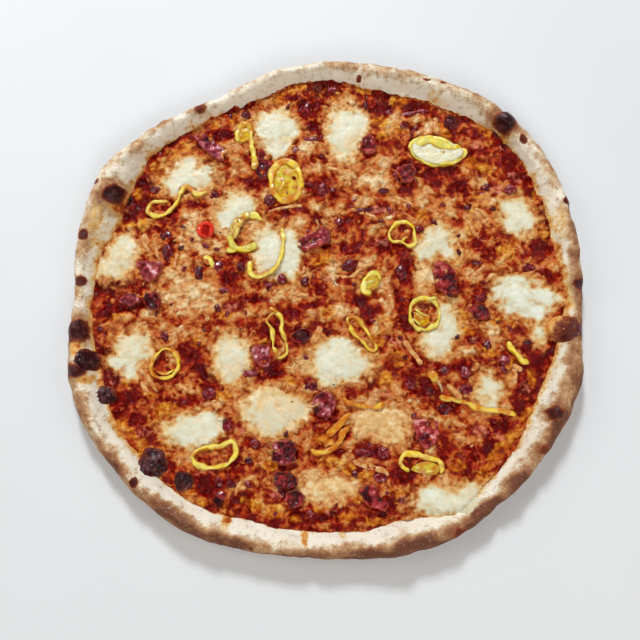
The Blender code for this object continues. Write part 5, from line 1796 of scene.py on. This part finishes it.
def shred_shape(node):
    """A thin bent strip one unit long."""
    ends = {"Start": (-0.5, 0.0, -0.05), "Middle": (0.0, 0.28, 0.12), "End": (0.5, 0.0, -0.05)}
    path = node("GeometryNodeCurveQuadraticBezier", Resolution=5, **ends)
    section = node("GeometryNodeCurvePrimitiveCircle", Resolution=5, Radius=0.1)
    return node("GeometryNodeCurveToMesh", Curve=path, Profile_Curve=section, Fill_Caps=True)


def scatter(name, spots, shape, material, values, uneven, size, fine):
    """Puts a shape on spots of (x, y, z, turns, spreads), in millimetres, as one plain mesh."""
    mesh = bpy.data.meshes.new(name)
    mesh.from_pydata(in_frame([spot[:3] for spot in spots]).tolist(), [], [])
    for key, column, factor in (("turn", 3, 1.0), ("spread", 4, MM)):
        layer = mesh.attributes.new(key, "FLOAT_VECTOR", "POINT")
        vectors = np.array([spot[column] for spot in spots], np.float32) * factor
        layer.data.foreach_set("vector", vectors.ravel())
    store(mesh, values)
    obj, tree = shown(name, mesh), scatter_tree(name, shape, material)
    modifier = obj.modifiers.new("Scatter", "NODES")
    modifier.node_group = tree
    settings = {"Unevenness": uneven, "Bump size": size, "Fine unevenness": fine}
    for item in tree.interface.items_tree:
        if item.name in settings:
            modifier[item.identifier] = settings[item.name] * MM
    bpy.context.view_layer.update()
    graph = bpy.context.evaluated_depsgraph_get()
    joined = bpy.data.meshes.new_from_object(obj.evaluated_get(graph))
    bpy.data.objects.remove(obj, do_unlink=True)
    form = bmesh.new()
    form.from_mesh(joined)
    bmesh.ops.remove_doubles(form, verts=form.verts, dist=1e-7)
    bmesh.ops.recalc_face_normals(form, faces=form.faces)
    form.to_mesh(joined)
    form.free()
    return adopt(name, joined, material, (), False)


def free_spots(draw, count, gap, reach, taken, pools):
    """Seeded places on the bed, clear of each other, of those taken and of the pools.

    pools is how many times as large the pools count, or 0 where they don't matter.
    """
    spots = []
    tries = 0
    while len(spots) < count and tries < 60 * count:
        tries += 1
        turn, radius = draw.uniform(0, math.tau), reach * math.sqrt(draw.uniform(0, 1))
        x = RIM_CENTRE[0] + radius * math.cos(turn)
        y = RIM_CENTRE[1] + radius * math.sin(turn)
        if pools and on_pool(x, y, pools):
            continue
        if taken and (np.hypot(*(np.array(taken) - (x, y)).T) < gap).any():
            continue
        taken.append((x, y))
        spots.append((x, y))
    return np.array(spots)


class PIZZA_OT_bits(Operator):
    """Scatters the small crisp bits of ham over the bed"""

    bl_idname = "pizza.bits"
    bl_label = "Ham bits"

    def execute(self, context):
        look = context.scene.pizza_look
        draw = np.random.default_rng(look.seed + 1)
        finish = bit_finish()
        taken = [bit[:2] for bit in BITS] + topped()
        named = [(*bit[:4], math.radians(sum(bit[4:]))) for bit in BITS]
        small = []
        for x, y in free_spots(draw, look.bit_count, gap=8, reach=180, taken=taken, pools=1.05):
            size = draw.uniform(1.3, 2.8)
            small.append((x, y, size * draw.uniform(1.0, 1.8), size, draw.uniform(0, math.pi)))
        kinds = (("ham_bits", named, chunk_shape), ("small_ham_bits", small, lump_shape))
        for name, bits, shape in kinds:
            tops = Laid.top([bit[0] for bit in bits], [bit[1] for bit in bits])
            spots = []
            for (x, y, length, width, turn), z in zip(bits, tops, strict=True):
                tall = min(0.42 * min(length, width) + 0.7, 3.0)
                tilts = draw.uniform(-0.2, 0.2), draw.uniform(-0.2, 0.2)
                spots.append((x, y, z - 0.3 * tall, (*tilts, turn), (length, width, tall)))
            tones = {"tone": draw.uniform(0.1, 1.0, len(spots))}
            scatter(name, spots, shape, finish, tones, uneven=3.2, size=3.6, fine=1.2)
        return {"FINISHED"}


def bit_finish():
    """Small crisp bits of ham, nearly black in places."""
    f = Finish("ham_bits")
    tone = f.attribute("tone")
    middling, small = f.noise(3.2, 3, 0.6, 0.5), f.noise(1.4, 2)
    color = f.ramp(
        # The palest, lilac stop is a painted highlight.
        f.sum((tone, 0.4), (middling, 1.6), (small, 0.9), -0.97),
        (0.05, (34, 0, 10)), (0.35, (78, 4, 12)), (0.60, (116, 20, 26)), (0.85, (156, 62, 66)),
        (1.00, (214, 156, 166)),
    )
    normal = f.bump(f.sum((small, 0.6), (middling, 0.6)), 0.6, 0.0012)
    return f.done(color, f.sum((small, 0.3), 0.06), normal, 0.2, coat=(0.3, 0.08))


class PIZZA_OT_shreds(Operator):
    """Scatters browned lumps and shreds of cheese and small dark flecks"""

    bl_idname = "pizza.shreds"
    bl_label = "Cheese lumps and shreds"

    def execute(self, context):
        look = context.scene.pizza_look
        draw = np.random.default_rng(look.seed + 2)
        finish = melt_finish("browned_cheese", look)
        lumps = free_spots(draw, look.lump_count, gap=5, reach=182, taken=topped(), pools=0.9)
        lumps = lumps[bed_fields(*lumps.T)[1]["calm"] < 0.55]
        shreds = free_spots(draw, look.shred_count, gap=7, reach=178, taken=topped(), pools=0.95)
        kinds = (
            ("cheese_lumps", lumps, lump_shape, 0.04),
            ("cheese_shreds", shreds, shred_shape, 0.12),
        )
        for name, xy, shape, lift in kinds:
            _, values = bed_fields(*xy.T)
            tops = Laid.top(*xy.T)
            spots = []
            for (x, y), z in zip(xy, tops, strict=True):
                tilts = draw.uniform(-0.15, 0.15), draw.uniform(-0.15, 0.15)
                turns = (*tilts, draw.uniform(0, math.tau))
                if shape is lump_shape:
                    size = draw.uniform(1.0, 2.6)
                    length = size * draw.uniform(1.0, 1.8)
                    spreads = (length, size, min(size, 1.5) * draw.uniform(0.6, 0.9))
                    spots.append((x, y, z - 0.35 * spreads[2], turns, spreads))
                else:
                    length, thick = draw.uniform(6, 13), draw.uniform(0.9, 1.5)
                    spots.append((x, y, z - 0.6, turns, (length, length * 0.9, 6 * thick)))
            values["relief"] = values["relief"] * 0.5 + 0.4
            values["cover"] = values["cover"] + lift + draw.uniform(-0.25, 0.25, len(xy))
            scatter(name, spots, shape, finish, values, uneven=1.3, size=2.6, fine=0.6)
        xy = free_spots(draw, FLECK_COUNT, gap=14, reach=184, taken=[], pools=0)
        tops = Laid.top(*xy.T)
        spots = []
        for (x, y), z in zip(xy, tops, strict=True):
            size, turn = draw.uniform(0.35, 0.8), draw.uniform(0, 3)
            spots.append((x, y, z + 0.1, (0, 0, turn), (size * draw.uniform(1, 2), size, 0.35)))
        name, finish = "dark_flecks", fleck_finish()
        scatter(name, spots, lump_shape, finish, {}, uneven=0.2, size=1.0, fine=0.1)
        return {"FINISHED"}


FLECK_COUNT = 24


def fleck_finish():
    """Specks of char."""
    f = Finish("dark_flecks")
    fine = f.noise(0.8, 2)
    color = f.ramp(fine, (0.2, (20, 10, 10)), (0.8, (60, 26, 18)))
    return f.done(color, f.sum((fine, 0.3), 0.35))


# --- stage ---
# The floor's size and how far it lies below the pizza, in metres.
FLOOR_SIZE = 4.0
FLOOR_DROP = 0.0004


def floor_finish():
    """A plain pale floor."""
    f = Finish("pale_floor")
    return f.done(f.mix(f.noise(180, 1), (0.70, 0.71, 0.72), (0.74, 0.75, 0.76)), 0.75)


def aim(obj, place):
    """Puts a lamp at a place, pointing at the pizza's middle."""
    obj.location = place
    obj.rotation_euler = (-Vector(place)).to_track_quat("-Z", "Y").to_euler()


class PIZZA_OT_stage(Operator):
    """Makes the floor, the lights and the camera"""

    bl_idname = "pizza.stage"
    bl_label = "Floor, lights and camera"

    def execute(self, context):
        scene = context.scene
        mesh = bpy.data.meshes.new("floor")
        shape = bmesh.new()
        bmesh.ops.create_grid(shape, x_segments=2, y_segments=2, size=FLOOR_SIZE)
        for vertex in shape.verts:
            vertex.co.z = -FLOOR_DROP
        shape.to_mesh(mesh)
        shape.free()
        mesh.materials.append(floor_finish())
        floor = shown("floor", mesh)
        look = scene.pizza_look
        for name, place, size, power, color in (
            ("window", (-0.25, 1.65, 1.35), 0.32, look.window_power, (0.88, 0.94, 1.0)),
            ("left_light", (-1.05, 0.20, 0.85), 0.7, look.side_power, (1.0, 0.97, 0.93)),
            ("right_light", (1.00, -0.25, 0.85), 0.7, 0.7 * look.side_power, (1.0, 0.96, 0.91)),
            ("front_light", (0.15, -1.35, 1.05), 0.7, 2.0 * look.side_power, (1.0, 0.99, 0.97)),
        ):
            light = bpy.data.lights.new(name, "AREA")
            light.energy, light.size, light.color = power, size, color
            aim(shown(name, light), place)
        world = bpy.data.worlds.new("studio")
        world.use_nodes = True
        back = world.node_tree.nodes["Background"]
        back.inputs["Color"].default_value = (1.0, 0.94, 0.86, 1.0)
        back.inputs["Strength"].default_value = look.world_strength
        scene.world = world
        scene.view_settings.view_transform = "Standard"
        camera = bpy.data.cameras.new("camera")
        camera.sensor_width, camera.lens = CAMERA_SENSOR, CAMERA_LENS
        eye = shown("camera", camera)
        eye.location = [c - shift * MM for c, shift in zip(CAMERA_PLACE, (*ORIGIN, 0), strict=True)]
        eye.rotation_euler = (CAMERA_TILT, 0, 0)
        scene.camera = eye
        return {"FINISHED"}


# --- settings and panel ---
def color_setting(name, description, *channels):
    """A colour that the panel shows, given in screen values from 0 to 255."""
    form = {"subtype": "COLOR", "size": 3, "min": 0, "max": 1}
    return FloatVectorProperty(
        name=name, description=description, default=linear(*channels), **form
    )


def number_setting(name, description, default, low, high, **form):
    """A number that the panel shows, whole if its default is."""
    kind = IntProperty if isinstance(default, int) else FloatProperty
    return kind(name=name, description=description, default=default, min=low, max=high, **form)


class PizzaLook(PropertyGroup):
    """Colours, heights, counts and lights that a user may change"""

    crust_cream: color_setting("Crust cream", "Palest baked dough", 240, 230, 210)
    crust_tan: color_setting("Crust tan", "Toasted dough", 198, 156, 112)
    char: color_setting("Char", "Burnt blisters", 44, 12, 16)
    sauce: color_setting("Sauce", "Tomato sauce", 154, 24, 4)
    melted_cheese: color_setting("Melted cheese", "Orange melted cheese", 204, 114, 48)
    mozzarella: color_setting("Mozzarella", "Fresh mozzarella", 215, 212, 183)
    ham: color_setting("Ham", "Cooked ham", 154, 34, 36)
    pepper: color_setting("Pepper", "Yellow pepper", 232, 198, 36)
    strip: color_setting("Strips", "Browned strips", 200, 130, 68)
    blister_height: number_setting("Blister height", "Rim's small blisters, in mm", 0.8, 0, 2)
    pool_height: number_setting("Pool height", "Mozzarella above the bed, in mm", 1.5, 0.5, 4)
    pepper_height: number_setting("Pepper height", "Wall of a pepper ring, in mm", 3.1, 2, 8)
    strip_count: number_setting("Strips", "Browned strips besides the placed ones", 8, 0, 200)
    bit_count: number_setting("Ham bits", "Ham bits besides the placed ones", 64, 0, 600)
    lump_count: number_setting("Cheese lumps", "Places tried for browned lumps", 460, 0, 2000)
    shred_count: number_setting("Cheese shreds", "Shreds of cheese on the bed", 40, 0, 2000)
    seed: number_setting("Seed", "Seed of every random choice", 7, 0, 1000)
    window_power: number_setting("Window", "Cool light behind", 40.0, 0, 400, unit="POWER")
    side_power: number_setting("Side lights", "Light at the left", 5.2, 0, 100, unit="POWER")
    world_strength: number_setting("Room light", "Even light all round", 0.13, 0, 10)


class PIZZA_PT_panel(Panel):
    """Lists the pizza's pieces and settings"""

    bl_label = "Pizza"
    bl_idname = "PIZZA_PT_panel"
    bl_space_type = "VIEW_3D"
    bl_region_type = "UI"
    bl_category = "Pizza"

    def draw(self, context):
        column = self.layout.column()
        for operator in OPERATORS:
            column.operator(operator.bl_idname)
        for key in PizzaLook.__annotations__:
            column.prop(context.scene.pizza_look, key)


OPERATORS = (
    PIZZA_OT_crust,
    PIZZA_OT_bed,
    PIZZA_OT_mozzarella,
    PIZZA_OT_blisters,
    PIZZA_OT_ham,
    PIZZA_OT_peppers,
    PIZZA_OT_strips,
    PIZZA_OT_bits,
    PIZZA_OT_shreds,
    PIZZA_OT_stage,
)
CLASSES = (PizzaLook, *OPERATORS, PIZZA_PT_panel)


def register():
    for cls in CLASSES:
        bpy.utils.register_class(cls)
    bpy.types.Scene.pizza_look = PointerProperty(type=PizzaLook)


def unregister():
    del bpy.types.Scene.pizza_look
    for cls in reversed(CLASSES):
        bpy.utils.unregister_class(cls)


def main():
    register()
    for operator in OPERATORS:
        group, name = operator.bl_idname.split(".")
        result = getattr(getattr(bpy.ops, group), name)()
        if result != {"FINISHED"}:
            raise RuntimeError(f"{operator.bl_label} did not finish")


if __name__ == "__main__":
    main()
